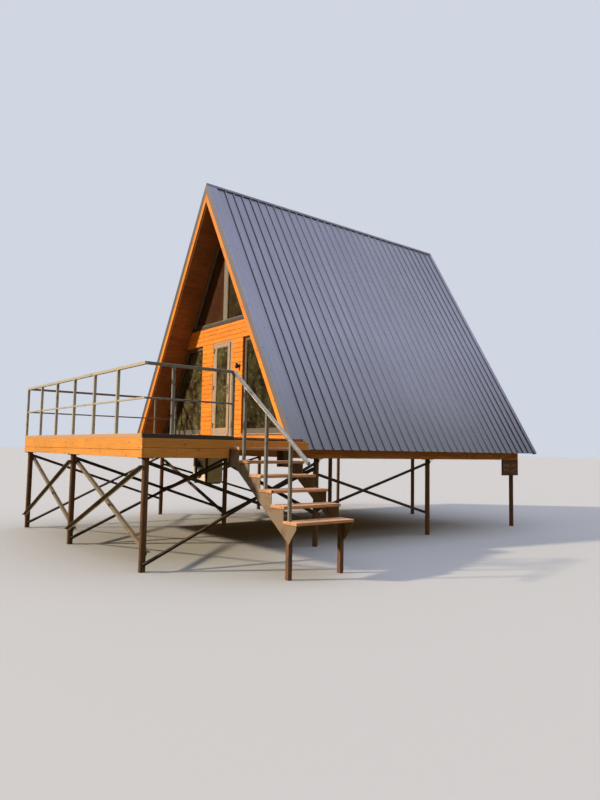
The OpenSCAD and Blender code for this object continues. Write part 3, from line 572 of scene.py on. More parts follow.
def steel(name, clean, worn, mark_colour, rough=0.45, metallic=0.0, rusty=0.2, scale=9.0, dark_right_end=False):
    """Painted or bare steel with wear, and rust or grime in patches; darker along the deck's right end if so
    asked
    """
    look = Look(name, metallic=metallic)
    patch = look.noise(look.at, scale=scale, detail=8, rough=0.65)
    fine = look.noise(look.at, scale=scale * 9, detail=5, rough=0.6)
    rust = look.range(look.math("MULTIPLY_ADD", fine, 0.35, patch), 0.86 - rusty, 0.98 - rusty)
    colour = look.mix(rust, look.mix(look.range(fine, 0.3, 0.7), clean, worn), mark_colour)
    if dark_right_end:
        # Darker along the deck's right end
        x = look.split(look.at)[0]
        colour = look.mix(look.range(x, EDGE_DARK_END_X, EDGE_DARK_END_X + 0.01), colour, EDGE_DARK_END)
    normal = look.bump(look.times(rust, fine), 0.0008)
    return look.done(colour, look.range(rust, 0, 1, rough, min(1, rough + 0.3)), normal)


def painted(name, pale, deep, rough=0.4, scale=5.0, specular=0.5):
    """Smooth paint or coated profile with faint grime and a fine grain"""
    look = Look(name, specular=specular, coat=0.05)
    grime = look.noise(look.at, scale=scale, detail=6, rough=0.6)
    fine = look.noise(look.scaled(look.at, (220, 220, 12)), detail=2)
    colour = look.mix(look.range(grime, 0.35, 0.7), pale, deep)
    colour = look.toned(colour, look.range(fine, 0.3, 0.7, 0.96, 1.04))
    return look.done(colour, look.range(grime, 0.3, 0.7, rough, rough + 0.15), look.bump(fine, 0.00012))


def glass(name):
    """Sealed glass over a dark room, with a painted reflection: a faint green, pale and brown mottle, browner
    in the upper window's left pane; painted shade and light darken the upper window's right pane, lighten the
    panes towards the left and darken them towards the right
    """
    look = Look(name, specular=0.3, alpha=0.72)
    patch = look.noise(look.scaled(look.at, (2.2, 2.2, 1.4)), scale=1.6, detail=7, rough=0.62)
    fine = look.noise(look.at, scale=14, detail=4, rough=0.6)
    # Painted reflection: green and pale patches over the dark glass
    colour = look.mix(look.range(patch, 0.4, 0.62), GLASS_DARK, GLASS_REFLECTION_GREEN)
    colour = look.mix(look.range(fine, 0.54, 0.7, 0, 0.6), colour, GLASS_REFLECTION_PALE)
    x, _, z = look.split(look.at)
    # Painted reflection and shade: the upper window is browner in its left pane and darker in its right, and
    # the panes grow lighter towards the left and darker towards the right
    upper = look.range(z, 3.9, 4.3)
    brown = look.times(upper, look.range(x, 0.04, 0.08, 0.8, 0.4))
    colour = look.mix(brown, colour, GLASS_REFLECTION_BROWN)
    shade = look.times(upper, look.range(x, 0.04, 0.08, 0, 0.3))
    colour = look.toned(colour, look.math("SUBTRACT", look.range(x, 0.3, 0.9, 1.2, 0.62), shade))
    film = look.noise(look.at, scale=3, detail=5)
    return look.done(colour, look.range(film, 0.3, 0.8, 0.02, 0.09), look.bump(patch, 0.0006))


def glow(name, colour, strength):
    look = Look(name)
    look.shader.inputs["Emission Color"].default_value = srgb(*colour)
    look.shader.inputs["Emission Strength"].default_value = strength
    return look.done(colour, 0.4)


STAIN = wood("stained_boards", (226, 144, 38), (204, 112, 22), (140, 66, 18), rough=0.42, coat=0.1,
             contrast=0.5, variety=0.24)
LINING_LOOK = wood("lining_boards", (162, 110, 66), (132, 82, 44), (76, 44, 24), rough=0.45, coat=0.12,
                   contrast=0.6, variety=0.22)
FASCIA_LOOK = wood("fascia_boards", (206, 142, 60), (192, 121, 44), (138, 79, 32), rough=0.54, coat=0.05,
                   contrast=0.6, variety=0.12)
DECK_LOOK = wood("deck_planks", (150, 108, 72), (112, 76, 48), (58, 36, 22), rough=0.6)
TREAD_LOOK = wood("tread_planks", (194, 146, 104), (162, 114, 74), (96, 58, 36), rough=0.6)
TIMBER_X, TIMBER_Y = wood_pair("timber_along_", (176, 132, 86), (140, 98, 60), (80, 48, 28), 0.65)
BEAM_X, BEAM_Y = wood_pair("beams_along_", (200, 130, 62), (164, 97, 42), (88, 46, 20), 0.5)
SKIRT_LOOK = wood("skirt_boards", (112, 74, 44), (80, 50, 28), (44, 26, 16), axis="Y", rough=0.7)
POST_LOOK = wood("stair_posts", (104, 74, 50), (74, 50, 34), (40, 26, 18), axis="Z", rough=0.7)
ROOF_RIBBED = roof_paint("roof_sheets", True)
ROOF_FLAT = roof_paint("roof_flashings", False)
ROOF_EDGE = painted("ridge_paint", (78, 80, 92), (64, 66, 76))
PROFILE = painted("window_profiles", (120, 112, 98), (98, 90, 78), rough=0.38)
# A darker copy of the window profile for the side windows, whose frames stand in the columns' shade: painted
# shade
SHADED_SIDE_PROFILE = painted("shaded_side_profiles", (96, 88, 76), (78, 71, 62), rough=0.38)
# A dark sheet that stands for the shade on the upper window's foot: painted shade
SHADE_SHEET = painted("painted_shade_sheet", (50, 40, 36), (40, 33, 30), rough=0.5)
DOOR_LOOK = painted("door_profiles", (166, 142, 118), (146, 124, 102))
RUBBER = painted("rubber_seals", (28, 28, 28), (18, 18, 18), rough=0.75, specular=0.3)
GLASS_LOOK = glass("window_glass")
BRIGHT = steel("fittings", (206, 204, 198), (184, 182, 176), (120, 112, 100), rough=0.25, metallic=0.85,
               rusty=0.02)
LAMP_LOOK = painted("lamp_paint", (26, 26, 27), (16, 16, 17), rough=0.35)
LAMP_GLASS = glow("lamp_glass", (255, 236, 200), 1.2)
RAIL_LOOK = steel("rail_paint", (182, 177, 158), (164, 159, 141), (96, 82, 66), metallic=0.2,
                  rusty=0.12, scale=7)
# A darker copy of the rail paint, for the side railings and the handrail whose seen faces stand in shade:
# painted shade
SHADED_RAIL = steel("shaded_rail_paint", (134, 131, 124), (118, 115, 109), (74, 65, 54), rough=0.42,
                  metallic=0.35, rusty=0.14, scale=7)
# The edge rail is darker along the deck's right end
CURB_LOOK = steel("edge_rail_paint", (200, 158, 118), (186, 143, 104), (128, 92, 64), metallic=0.2,
                  rusty=0.06, scale=6, dark_right_end=True)
RUST_LOOK = steel("rusty_steel", (84, 70, 56), (66, 54, 44), (108, 74, 48), rough=0.7, rusty=0.3, scale=5)
# Braces under the floor: dark steel, made darker still as painted shade for the shade there
BRACE_LOOK = steel("dark_braces", (52, 44, 38), (40, 34, 30), (84, 56, 38), rough=0.72, scale=6)
FLAT_LOOK = steel("front_brace_steel", (122, 111, 90), (104, 94, 76), (98, 72, 52), rough=0.65, rusty=0.16,
                  scale=6)
STRINGER_LOOK = steel("stringer_steel", (126, 107, 87), (111, 94, 76), (98, 72, 52), rough=0.62, rusty=0.16,
                      scale=5)
UNIT_LOOK = painted("unit_paint", (214, 204, 180), (196, 184, 158), rough=0.45, scale=3)
GRILLE_LOOK = painted("unit_grille", (46, 46, 46), (34, 34, 34), rough=0.5)


# CAD nodes that keep their shape

def keep(look, soften, *names, steps=2):
    """Gives CAD nodes a finish, and eases their edges by so much"""
    for name in names:
        node = NODES[name]
        for material_slot in node.material_slots:
            material_slot.material = look
        if soften:
            weld = node.modifiers.new("weld", "WELD")
            weld.merge_threshold = 0.00002
            bevel = node.modifiers.new("ease", "BEVEL")
            bevel.width = soften
            bevel.segments = steps
            bevel.limit_method = "ANGLE"
            bevel.angle_limit = math.radians(40)
            bevel.harden_normals = True


def kept_nodes():
    keep(ROOF_RIBBED, 0, "roof_sheet_right", "roof_sheet_left")
    keep(ROOF_FLAT, 0, "front_flashings", "rear_flashings")
    keep(ROOF_EDGE, 0, "ridge_cap")
    keep(BEAM_Y, 0.004, "side_beams")
    keep(BEAM_X, 0.004, "end_beams")
    keep(TIMBER_Y, 0, "floor_boards", "loft_floor")
    keep(TIMBER_Y, 0.003, "spine_beam", "deck_joists")
    keep(TIMBER_X, 0.003, "floor_joists", "deck_beam", "deck_rims")
    keep(SKIRT_LOOK, 0.003, "corner_skirt")
    keep(POST_LOOK, 0.004, "stair_hangers")
    keep(SHADED_SIDE_PROFILE, 0.003, "side_window_frame_left", "side_window_frame_right")
    keep(PROFILE, 0.003, "upper_window_frame")
    keep(DOOR_LOOK, 0.003, "door_frame", "door_leaf")
    keep(GLASS_LOOK, 0, "side_glass", "upper_glass", "door_glass")
    keep(BRIGHT, 0, "leaf_hinges", "frame_hinges")
    keep(RAIL_LOOK, 0.004, "railing_front", steps=3)
    keep(SHADED_RAIL, 0.004, "railing_right", "railing_left", "handrail", steps=3)
    keep(CURB_LOOK, 0.003, "edge_rail")
    keep(STRINGER_LOOK, 0.0015, "stair_stringers")
    keep(RUST_LOOK, 0.002, "stair_feet", "deck_piles", "house_piles")
    keep(FLAT_LOOK, 0.0012, "front_braces")
    keep(BRACE_LOOK, 0.0012, "cross_braces", "house_braces", "air_unit_hangers")
    keep(UNIT_LOOK, 0.006, "air_unit", steps=3)


# Gable walls

def between(left, right, z0, z1):
    """Outline between two edges, each a function of height; it ends in a point where it gets narrow"""
    outline = [(left(z0), z0), (right(z0), z0)]
    if right(z1) - left(z1) > CLADDING_W / 2:
        return outline + [(right(z1), z1), (left(z1), z1)]
    return outline + [((left(z1) + right(z1)) / 2, z1)]


def clad(shape, foot, head, left, right, y0, y1):
    """A stack of level boards between two edges"""
    for z0, z1 in rows(foot, head, CLADDING_W):
        outline = between(left, right, z0 + CLADDING_GAP / 2, z1 - CLADDING_GAP / 2)
        shape.prism(outline, GABLE, y0, y1, CLADDING_EDGE)


def gable_wall(name, node, *spans):
    """Boards on both faces of a core; spans are each part's left and right edges, as functions of height"""
    lo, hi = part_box(node)
    boards = Shape()
    for left, right in spans:
        clad(boards, lo.z, hi.z, left, right, lo.y, lo.y + CLADDING_T)
        clad(boards, lo.z, hi.z, left, right, hi.y - CLADDING_T, hi.y)
        boards.prism(between(left, right, lo.z, hi.z), GABLE, lo.y + CLADDING_T, hi.y - CLADDING_T, 0.0005)
    boards.finish(name, STAIN, stands_for=[node])


def gable_walls():
    for name in ("column_left", "column_right"):
        lo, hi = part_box(name)
        gable_wall(name + "_boards", name, (lambda z: lo.x, lambda z: hi.x))
    gable_wall("band_boards", "wall_band", (lambda z: -room(z), room))
    gable_wall("sill_boards", "sill_walls", (lambda z: window_edge(1), room),
               (lambda z: -room(z), lambda z: -window_edge(-1)))
    gable_wall("rear_wall_boards", "rear_wall", (lambda z: -max(0, room(z)), lambda z: max(0, room(z))))


# Roof

def level_cut(z):
    """How far down the slope a level cut at a height lies, as a function of depth"""
    return lambda depth: (RIDGE_Z - z - depth * COSINE) / SINE


def ridge_cut(depth):
    """How far down the slope the ridge's middle plane lies, at a depth, with a little to spare"""
    return (RIDGE_PLAY + depth * SINE) / COSINE


def square_cut(along):
    return lambda depth: along


def roof_layer(shape, side, depths, start, end, ys, edge):
    """A layer of one slope between two depths and two ys, from one cut to another"""
    top, back = depths
    outline = [(start(top), top), (end(top), top), (end(back), back), (start(back), back)]
    shape.prism(outline, place(down(side), inward(side), Y, (0, 0, RIDGE_Z)), *ys, edge)


def roof_panel(side, name):
    """A core and the lining boards that show under the overhangs and inside"""
    y0, y1 = low(name).y, high(name).y
    back = LINING - LINING_BOARD
    foot = level_cut(FRAME_Z)
    boards = Shape()
    roof_layer(boards, side, (UNDER_SHEET, back), ridge_cut, foot, (y0, y1), 0.001)
    lining = place(Y, down(side), inward(side), (0, 0, RIDGE_Z))
    for s0, s1 in rows(ridge_cut(LINING), foot(LINING), CLADDING_W):
        joint = draw.uniform(y0 + 1.2, y1 - 1.2)
        for a, b in ((y0, joint), (joint, y1)):
            boards.prism(rectangle(a, s0, b, s1), lining, back, LINING, 0.0025)
    boards.finish(name + "_boards", LINING_LOOK, stands_for=[name])


def bargeboards(name, out):
    """Two boards up each slope, butted, and cut level at the foot"""
    lo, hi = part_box(name)
    face = lo.y if out < 0 else hi.y
    back = UNDER_SHEET + BARGE_W
    boards = Shape()
    screws = Shape()
    for side, joint in BARGE_JOINTS:
        for start, end in ((ridge_cut, square_cut(joint - 0.001)),
                           (square_cut(joint + 0.001), level_cut(lo.z))):
            roof_layer(boards, side, (UNDER_SHEET, back), start, end, (lo.y, hi.y), 0.0025)
        for along in spread(0.6, 5.7, SCREW_STEP):
            for depth in (VERGE_STRIP - 0.015, back - 0.03):
                screws.screw(on_slope(side, along, depth, face), (0, out, 0))
    boards.finish(name + "_planks", STAIN, stands_for=[name])
    screws.finish(name + "_screws", BRIGHT)


def verge_strips(name, y0, y1):
    """A flat strip on the bargeboards under the flashing's leg"""
    foot = level_cut(VERGE_FOOT_Z)
    strips = Shape()
    for side in (-1, 1):
        roof_layer(strips, side, (VERGE_LEG, VERGE_STRIP), ridge_cut, foot, (y0, y1), 0.0004)
    strips.finish(name, ROOF_FLAT)


def lining_trim():
    """Slim strips that cover the joint between the lining and the front wall"""
    strips = Shape()
    for side in (-1, 1):
        roof_layer(strips, side, (LINING, LINING + LINING_TRIM), ridge_cut, level_cut(FLOOR_Z),
                   (WALL_Y0 - LINING_TRIM, WALL_Y0), 0.003)
    strips.finish("lining_trim", LINING_LOOK)


def roof_screws():
    """Screws with washers in the pans beside each rib, on every batten, and along the flashings"""
    heads = Shape()
    profile = [(0.009, 0), (0.009, 0.0015), (0.0055, 0.0022), (0.0055, 0.007), (0.004, 0.008)]
    in_pan, on_verge, on_cap = RIB, -0.0023, -0.0046
    beside_rib = 0.036
    for side in (-1, 1):
        out = -inward(side)
        for along in spread(0.28, SLOPE - 0.07, BATTEN_STEP):
            for k in range(RIBS - 1):
                at = on_slope(side, along, in_pan, FIRST_RIB_Y + k * RIB_STEP + beside_rib)
                heads.turned(profile, facing(at, out), 6)
            for y in (ROOF_Y0 + 0.05, ROOF_Y1 - 0.05):
                heads.turned(profile, facing(on_slope(side, along, on_verge, y), out), 6)
        for k in range(RIBS):
            y = min(FIRST_RIB_Y + k * RIB_STEP, ROOF_Y1 - 0.09)
            heads.turned(profile, facing(on_slope(side, 0.038, on_cap, y), out), 6)
    heads.finish("roof_screws", ROOF_EDGE)


# Windows and door

def window_edge(side):
    """How far from the ridge line a side window begins"""
    return high("column_right").x if side > 0 else -low("column_left").x


def side_outline(side):
    """Outline of the glass of a side window"""
    lo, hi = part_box("side_window_frame_right")
    edge = window_edge(side) + WINDOW_BAR
    depth = LINING + WINDOW_BAR
    z0, z1 = lo.z + WINDOW_FOOT, hi.z - WINDOW_BAR
    return [(side * edge, z0), (side * (half_at(z0, depth) - FIT), z0),
            (side * (half_at(z1, depth) - FIT), z1), (side * edge, z1)]


def upper_outline(side):
    """Outline of the glass of one half of the upper window"""
    post = MULLION / 2
    z0 = low("upper_window_frame").z + WINDOW_BAR
    depth = LINING + WINDOW_BAR
    top = RIDGE_Z - (post + FIT + depth / SINE) * math.tan(PITCH)
    return [(side * post, z0), (side * (half_at(z0, depth) - FIT), z0), (side * post, top)]


def glazing(beads, seals, outline, holder, pane, recess):
    """Beads and rubber seals round one pane, on both sides of it and set back from the holder's faces"""
    bead = 0.016
    rubber = 0.004
    proud = 0.003
    front, back = low(holder).y + recess, high(holder).y - recess
    glass_front, glass_back = low(pane).y, high(pane).y
    for y0, y1 in ((front, glass_front), (glass_back, back)):
        beads.ring(outline, bead, y0, y1, 0.002)
    for y0, y1 in ((glass_front - proud, glass_front), (glass_back, glass_back + proud)):
        seals.ring(inset(outline, bead), rubber, y0, y1, 0.0008)


def window_sill(shape, left, right, z, front, back):
    """A folded sheet over the boards under a window, with its front edge turned down"""
    shape.box((left, front, z - 0.001), (right, back, z + 0.004), 0.0012)
    shape.box((left, front, z - 0.02), (right, front + 0.004, z + 0.004), 0.0012)


def windows():
    seals = Shape()
    sills = Shape()
    for name, holder, pane, outline, look in (
            ("side_window_beads", "side_window_frame_right", "side_glass", side_outline, SHADED_SIDE_PROFILE),
            ("upper_window_beads", "upper_window_frame", "upper_glass", upper_outline, PROFILE)):
        beads = Shape()
        for side in (-1, 1):
            glazing(beads, seals, outline(side), holder, pane, 0.006)
        beads.finish(name, look)
    seals.finish("window_seals", RUBBER)
    lo = low("side_window_frame_right")
    for side in (-1, 1):
        left, right = sorted((side * (window_edge(side) + 0.002), side * (room(lo.z) - 0.03)))
        window_sill(sills, left, right, lo.z, WALL_Y0 - 0.03, lo.y + 0.02)
    sills.finish("window_sills", DOOR_LOOK)
    # A dark sill and sheet over the upper window's foot stand in for the shade there: painted shade
    lo = low("upper_window_frame")
    shade_sheet = Shape()
    half = room(lo.z) - 0.03
    window_sill(shade_sheet, -half, half, lo.z, WALL_Y0 - 0.012, lo.y + 0.02)
    top = lo.z + WINDOW_BAR
    outline = [(-room(lo.z), lo.z + 0.004), (room(lo.z), lo.z + 0.004), (room(top), top), (-room(top), top)]
    shade_sheet.prism(outline, GABLE, lo.y - 0.002, lo.y, 0.0005)
    shade_sheet.finish("upper_window_shade_sheet", SHADE_SHEET)


def door():
    lo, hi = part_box("door_leaf")
    pane_lo, pane_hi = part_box("door_glass")
    outline = rectangle(pane_lo.x + PANE_BITE, pane_lo.z + PANE_BITE,
                        pane_hi.x - PANE_BITE, pane_hi.z - PANE_BITE)
    beads = Shape()
    seals = Shape()
    glazing(beads, seals, outline, "door_leaf", "door_glass", 0.005)
    beads.box((lo.x + 0.02, lo.y - 0.012, lo.z + 0.02), (hi.x - 0.02, lo.y, lo.z + 0.06), 0.003)
    beads.box((lo.x + 0.09, lo.y - 0.003, lo.z + 0.08), (hi.x - 0.09, lo.y, lo.z + 0.145), 0.0025)
    beads.finish("door_beads", DOOR_LOOK, body="door")
    seals.finish("door_seals", RUBBER, body="door")


def door_threshold():
    """A folded metal sill in the door frame's foot"""
    lo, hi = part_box("door_frame")
    left, right = lo.x + 0.072, hi.x - 0.072
    top = lo.z + 0.0385
    threshold = Shape()
    threshold.box((left, lo.y - 0.02, lo.z + 0.035), (right, lo.y + 0.012, top), 0.001)
    threshold.box((left, lo.y - 0.022, lo.z + 0.012), (right, lo.y - 0.0005, top), 0.001)
    threshold.finish("door_threshold", BRIGHT)


def door_handle():
    """A back plate, a bent lever and a lock cylinder on each face of the leaf"""
    lo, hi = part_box("door_leaf")
    x = (high("door_glass").x - PANE_BITE + hi.x) / 2
    z = (low("door_handle").z + high("door_handle").z) / 2
    bend = 0.012
    lever = 0.104
    sag = 0.004
    parts = Shape()
    for y, out in ((lo.y, -1), (hi.y, 1)):
        plate = rounded(0.034, 0.23, 0.016)
        parts.skin([(plate, 0), (plate, 0.006), (rounded(0.030, 0.226, 0.014), 0.008)],
                   place(X, Z, Y * out, (x, y, z - 0.035)))
        hub = facing((x, y, z), (0, out, 0))
        parts.turned([(0.012, 0.006), (0.012, 0.016), (0.0095, 0.018), (0.0095, 0.03)], hub)
        path = [Vector((x, y + out * 0.024, z)), Vector((x, y + out * 0.032, z))]
        for k in range(1, 7):
            a = math.pi / 2 * k / 6
            path.append(Vector((x - bend * (1 - math.cos(a)), y + out * (0.032 + bend * math.sin(a)), z)))
        for k in range(1, 9):
            drop = sag * math.sin(math.pi * k / 8)
            path.append(Vector((x - bend - lever * k / 8, y + out * 0.044, z - drop)))
        parts.sweep(path, rounded(0.012, 0.018, 0.005), Z)
        cylinder = facing((x, y, z - 0.09), (0, out, 0))
        parts.turned([(0.0085, 0.008), (0.0085, 0.012), (0.0075, 0.013)], cylinder)
    parts.finish("door_lever", BRIGHT, body="door", stands_for=["door_handle"])


def wall_lamp():
    """A plain cylinder on a bracket, with a lens in each end"""
    lo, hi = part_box("wall_lamp")
    middle = (lo + hi) / 2
    radius = (hi.y - lo.y) / 3
    y = lo.y + radius
    tall = hi.z - lo.z
    upright = place(X, Y, Z, (middle.x, y, lo.z))
    rim = [(0.82, 0.004), (0.82, 0.001), (0.97, 0), (1, 0.002)]
    body = Shape()
    body.turned([(radius * share, z) for share, z in rim]
                + [(radius * share, tall - z) for share, z in rim[::-1]], upright, 32)
    arm = 0.011
    body.box((middle.x - arm, y, middle.z - arm), (middle.x + arm, hi.y - 0.01, middle.z + arm), 0.002)
    wide = hi.x - lo.x
    plate = rounded(wide, wide, 0.006)
    body.skin([(plate, 0), (plate, 0.010), (rounded(wide - 0.004, wide - 0.004, 0.005), 0.012)],
              place(X, Z, -Y, (middle.x, hi.y, middle.z)))
    body.finish("lamp_body", LAMP_LOOK, stands_for=["wall_lamp"])
    lenses = Shape()
    for z0, z1 in ((0.0045, 0.008), (tall - 0.008, tall - 0.0045)):
        lenses.turned([(radius * 0.8, z0), (radius * 0.8, z1)], upright, 24)
    lenses.finish("lamp_lenses", LAMP_GLASS)


# Deck

def deck_planks():
    lo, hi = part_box("deck_boards")
    notch_x = room(lo.z) - 0.02
    notch_y = ROOF_Y0 - 0.004
    joists = spread(low("deck_joists").x + 0.022, high("deck_joists").x - 0.022, 0.58)
    planks = Shape()
    screws = Shape()
    for y0, y1 in rows(lo.y, hi.y, PLANK_STEP):
        y1 -= PLANK_GAP
        right = notch_x if y1 > notch_y else hi.x
        joint = joists[draw.randrange(2, len(joists) - 2)]
        for a, b in ((lo.x, joint - 0.001), (joint + 0.001, right)):
            planks.prism(rectangle(a, y0, b, y1), FLAT_X, lo.z, hi.z, BOARD_EDGE)
        for x in (x for x in joists if x < right):
            for y in (y0 + 0.025, y1 - 0.025):
                screws.screw((x, y, hi.z), Z)
    planks.finish("deck_planks", DECK_LOOK, stands_for=["deck_boards"])
    screws.finish("deck_screws", BRIGHT)


def fascia(name, where, out, seam=0.5, lower_end=None):
    """Two boards, one above the other, each of two lengths; the lower one may end sooner"""
    lo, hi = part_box(name)
    length, depth = (0, 1) if where is GABLE else (1, 0)
    start, end = lo[length], hi[length]
    lower_end = end if lower_end is None else lower_end
    back, front = lo[depth], hi[depth]
    middle = lo.z + (hi.z - lo.z) * seam
    gap = 0.002
    boards = Shape()
    screws = Shape()
    for z0, z1, far, share in ((lo.z, middle - gap, lower_end, 0.36), (middle + gap, hi.z, end, 0.62)):
        joint = start + (far - start) * share
        for a, b in ((start, joint - 0.0008), (joint + 0.0008, far)):
            boards.prism(rectangle(a, z0, b, z1), where, back, front, BOARD_EDGE)
        for along in spread(start + 0.04, far - 0.04, SCREW_STEP):
            for z in (z0 + 0.03, z1 - 0.03):
                at = where @ Vector((along, z, back if out < 0 else front))
                screws.screw(at, out * (where.to_3x3() @ Z))
    boards.finish(name + "_boards", FASCIA_LOOK, stands_for=[name])
    screws.finish(name + "_screws", BRIGHT)


def fascias():
    fascia("fascia_front", GABLE, -1, seam=FRONT_SEAM)
    fascia("fascia_right", SIDE, 1, lower_end=low("stair_treads").y - 0.025)
    fascia("fascia_left", SIDE, -1)


# Railing and stair

def weld_ring(shape, at, radius, sides, thick):
    """An uneven bead of weld round the top of a pile"""
    where = facing(at, Z)
    path = []
    for k in range(sides):
        reach = radius + draw.uniform(-0.0006, 0.0006)
        path.append(where @ Vector((*polar(reach, 2 * math.pi * k / sides), 0)))
    shape.sweep(path, circle(thick, 6), Z, around=True)


def weld_square(shape, x, y, foot):
    """A bead of weld round the foot of a square post"""
    path = []
    for k in range(20):
        a = 2 * math.pi * (k + 0.5) / 20
        reach = (TUBE / 2 + 0.001) / max(abs(math.cos(a)), abs(math.sin(a)))
        path.append(Vector((x, y, foot + 0.001)) + Vector((*polar(reach, a), 0)))
    shape.sweep(path, circle(WELD, 6), Z, around=True)


def post_places():
    """Where the railings' posts stand, from the CAD boxes and the steps between them"""
    half = TUBE / 2
    right = high("railing_right").x - half
    left = low("railing_left").x + half
    front = low("railing_front").y + half
    places = [(right - POST_STEP * k, front) for k in range(1, 6)]
    places += [(right, front - half + RIGHT_POST), (right, high("railing_right").y - half)]
    places += [(left, front + POST_STEP * k) for k in range(1, 4)]
    return places + [(left, high("railing_left").y - half)]


def railings():
    welds = Shape()
    for x, y in post_places():
        weld_square(welds, x, y, high("edge_rail").z)
    for k in (2, 4, 6):
        back, top = tread_place(k)
        weld_square(welds, back + HANDRAIL_POST, low("handrail").y + TUBE / 2, top)
    welds.finish("railing_welds", RAIL_LOOK)
    caps = Shape()
    lo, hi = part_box("railing_left")
    lower = low("edge_rail").z + MIDDLE_RAIL
    for z, half in ((hi.z - TUBE / 2, 0.019), (lower, 0.0115)):
        cap = rounded(half * 2, half * 2, 0.004)
        caps.skin([(cap, 0), (cap, 0.003), (rounded(half * 1.8, half * 1.8, 0.003), 0.004)],
                  place(X, Z, Y, ((lo.x + hi.x) / 2, hi.y, z)))
    caps.finish("rail_end_caps", LAMP_LOOK)


def tread_place(k):
    """The back edge and the top of a tread, counted from the deck down"""
    back = high("fascia_right").x + FIRST_TREAD + (k - 2) * GOING
    return back, high("stair_treads").z - (k - 1) * RISE


def stair():
    """Two planks for each tread, on angle cleats along the stringers, with bolts through both"""
    lo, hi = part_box("stair_treads")
    plate = 0.004
    planks = Shape()
    bolts = Shape()
    cleats = Shape()
    for k in range(1, TREADS + 1):
        back, top = tread_place(k)
        front = back + TREAD_DEEP
        back = max(back, high("fascia_right").x + FIT)
        under = top - TREAD_THICK
        middle = (back + front) / 2
        for a, b in ((back, middle - 0.0015), (middle + 0.0015, front)):
            planks.prism(rectangle(lo.y, a, hi.y, b), FLAT_Y, under, top, 0.005)
        for y, side in ((lo.y + 0.01, 1), (hi.y - 0.01, -1)):
            inner = y + side * 0.008
            for wide, z0, z1 in ((0.04, under - plate, under), (plate, under - 0.04, under - plate)):
                a, b = sorted((inner, inner + side * wide))
                cleats.box((back + 0.02, a, z0), (front - 0.045, b, z1), 0.0008)
            for x in (back + 0.055, front - 0.08):
                bolts.turned([(0.011, 0), (0.0105, 0.002), (0.007, 0.0045), (0.003, 0.0052)],
                             facing((x, inner + side * 0.02, top), Z), 14)
                bolts.bolt((x, inner + side * 0.02, under - plate), -Z, 0.007, 0.006)
    planks.finish("tread_planks", TREAD_LOOK, stands_for=["stair_treads"])
    cleats.finish("tread_cleats", STRINGER_LOOK)
    bolts.finish("tread_bolts", BRIGHT)


# Under the floor

def pile_places(name):
    lo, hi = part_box(name)
    left, right = lo.x + PLATE_HALF, hi.x - PLATE_HALF
    front, rear = lo.y + PLATE_HALF, hi.y - PLATE_HALF
    if name == "house_piles":
        return [(x, y) for x in (left, 0, right) for y in spread(front, rear, HOUSE_PILE_STEP)]
    return [(right, front), (right - DECK_PILE_STEP, front), (left, front)]


def pile_details():
    """Weld under each head plate, and the bolts that hold the plates to the beams"""
    welds = Shape()
    bolts = Shape()
    for name in ("deck_piles", "house_piles"):
        top = high(name).z
        for x, y in pile_places(name):
            weld_ring(welds, (x, y, top - 0.009), 0.0455, 24, 0.005)
            for dx in (-0.06, 0.06):
                for dy in (-0.06, 0.06):
                    bolts.bolt((x + dx, y + dy, top - 0.008), -Z, 0.008, 0.007)
    welds.finish("pile_welds", RUST_LOOK)
    bolts.finish("pile_bolts", BRACE_LOOK)


def unit_panels():
    """The air unit's lid, the seam in its front and the slots in its side"""
    lo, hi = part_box("air_unit")
    seam = high("air_unit_fan").x + 0.03
    case = Shape()
    case.box((lo.x - 0.004, lo.y - 0.004, hi.z - 0.024), (hi.x + 0.004, hi.y + 0.004, hi.z + 0.003), 0.003)
    case.box((seam, lo.y - 0.0025, lo.z + 0.012), (hi.x - 0.006, lo.y + 0.002, hi.z - 0.03), 0.002)
    for k in range(9):
        z = lo.z + 0.1 + k * 0.026
        case.box((hi.x - 0.001, lo.y + 0.05, z), (hi.x + 0.004, hi.y - 0.06, z + 0.012), 0.002)
    case.finish("unit_panels", UNIT_LOOK)


def unit_fan():
    """A guard of twelve wire rings on eight spokes, and behind it three blades on a hub"""
    front = low("air_unit").y
    fan_lo, fan_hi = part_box("air_unit_fan")
    x, _, z = (fan_lo + fan_hi) / 2
    radius = (fan_hi.x - fan_lo.x) / 2
    rings = 12
    y = front + 0.004
    guard = Shape()
    for k in range(1, rings + 1):
        wire = [Vector((x + u, y, z + v)) for u, v in circle(radius * k / rings - 0.002, 40)]
        guard.sweep(wire, circle(0.0018, 5), Y, around=True)
    start = Vector((x, y + 0.003, z))
    for u, v in circle(1, 8):
        ahead = Vector((u, 0, v))
        guard.sweep([start + ahead * 0.02, start + ahead * (radius - 0.001)], circle(0.0024, 5), Y)
    guard.turned([(0.035, 0), (0.035, 0.004), (0.03, 0.006)], facing((x, y + 0.006, z), -Y), 24)
    guard.finish("unit_guard", GRILLE_LOOK, stands_for=["air_unit_fan"])
    blades = Shape()
    section = [(-0.05, 0.012), (0.0, 0.002), (0.05, -0.012), (0.05, -0.0095), (0.0, 0.0045), (-0.05, 0.0145)]
    for k in range(3):
        a = 2 * math.pi * k / 3
        path = []
        for step in range(8):
            u, v = polar(0.03 + (radius - 0.045) * step / 7, a + 0.25 * step / 7)
            path.append(Vector((x + u, front + 0.034, z + v)))
        blades.sweep(path, section, Y)
    blades.turned([(0.045, 0), (0.045, 0.02), (0.03, 0.026)], facing((x, front + 0.048, z), -Y), 24)
    blades.finish("unit_blades", GRILLE_LOOK)


# Studio

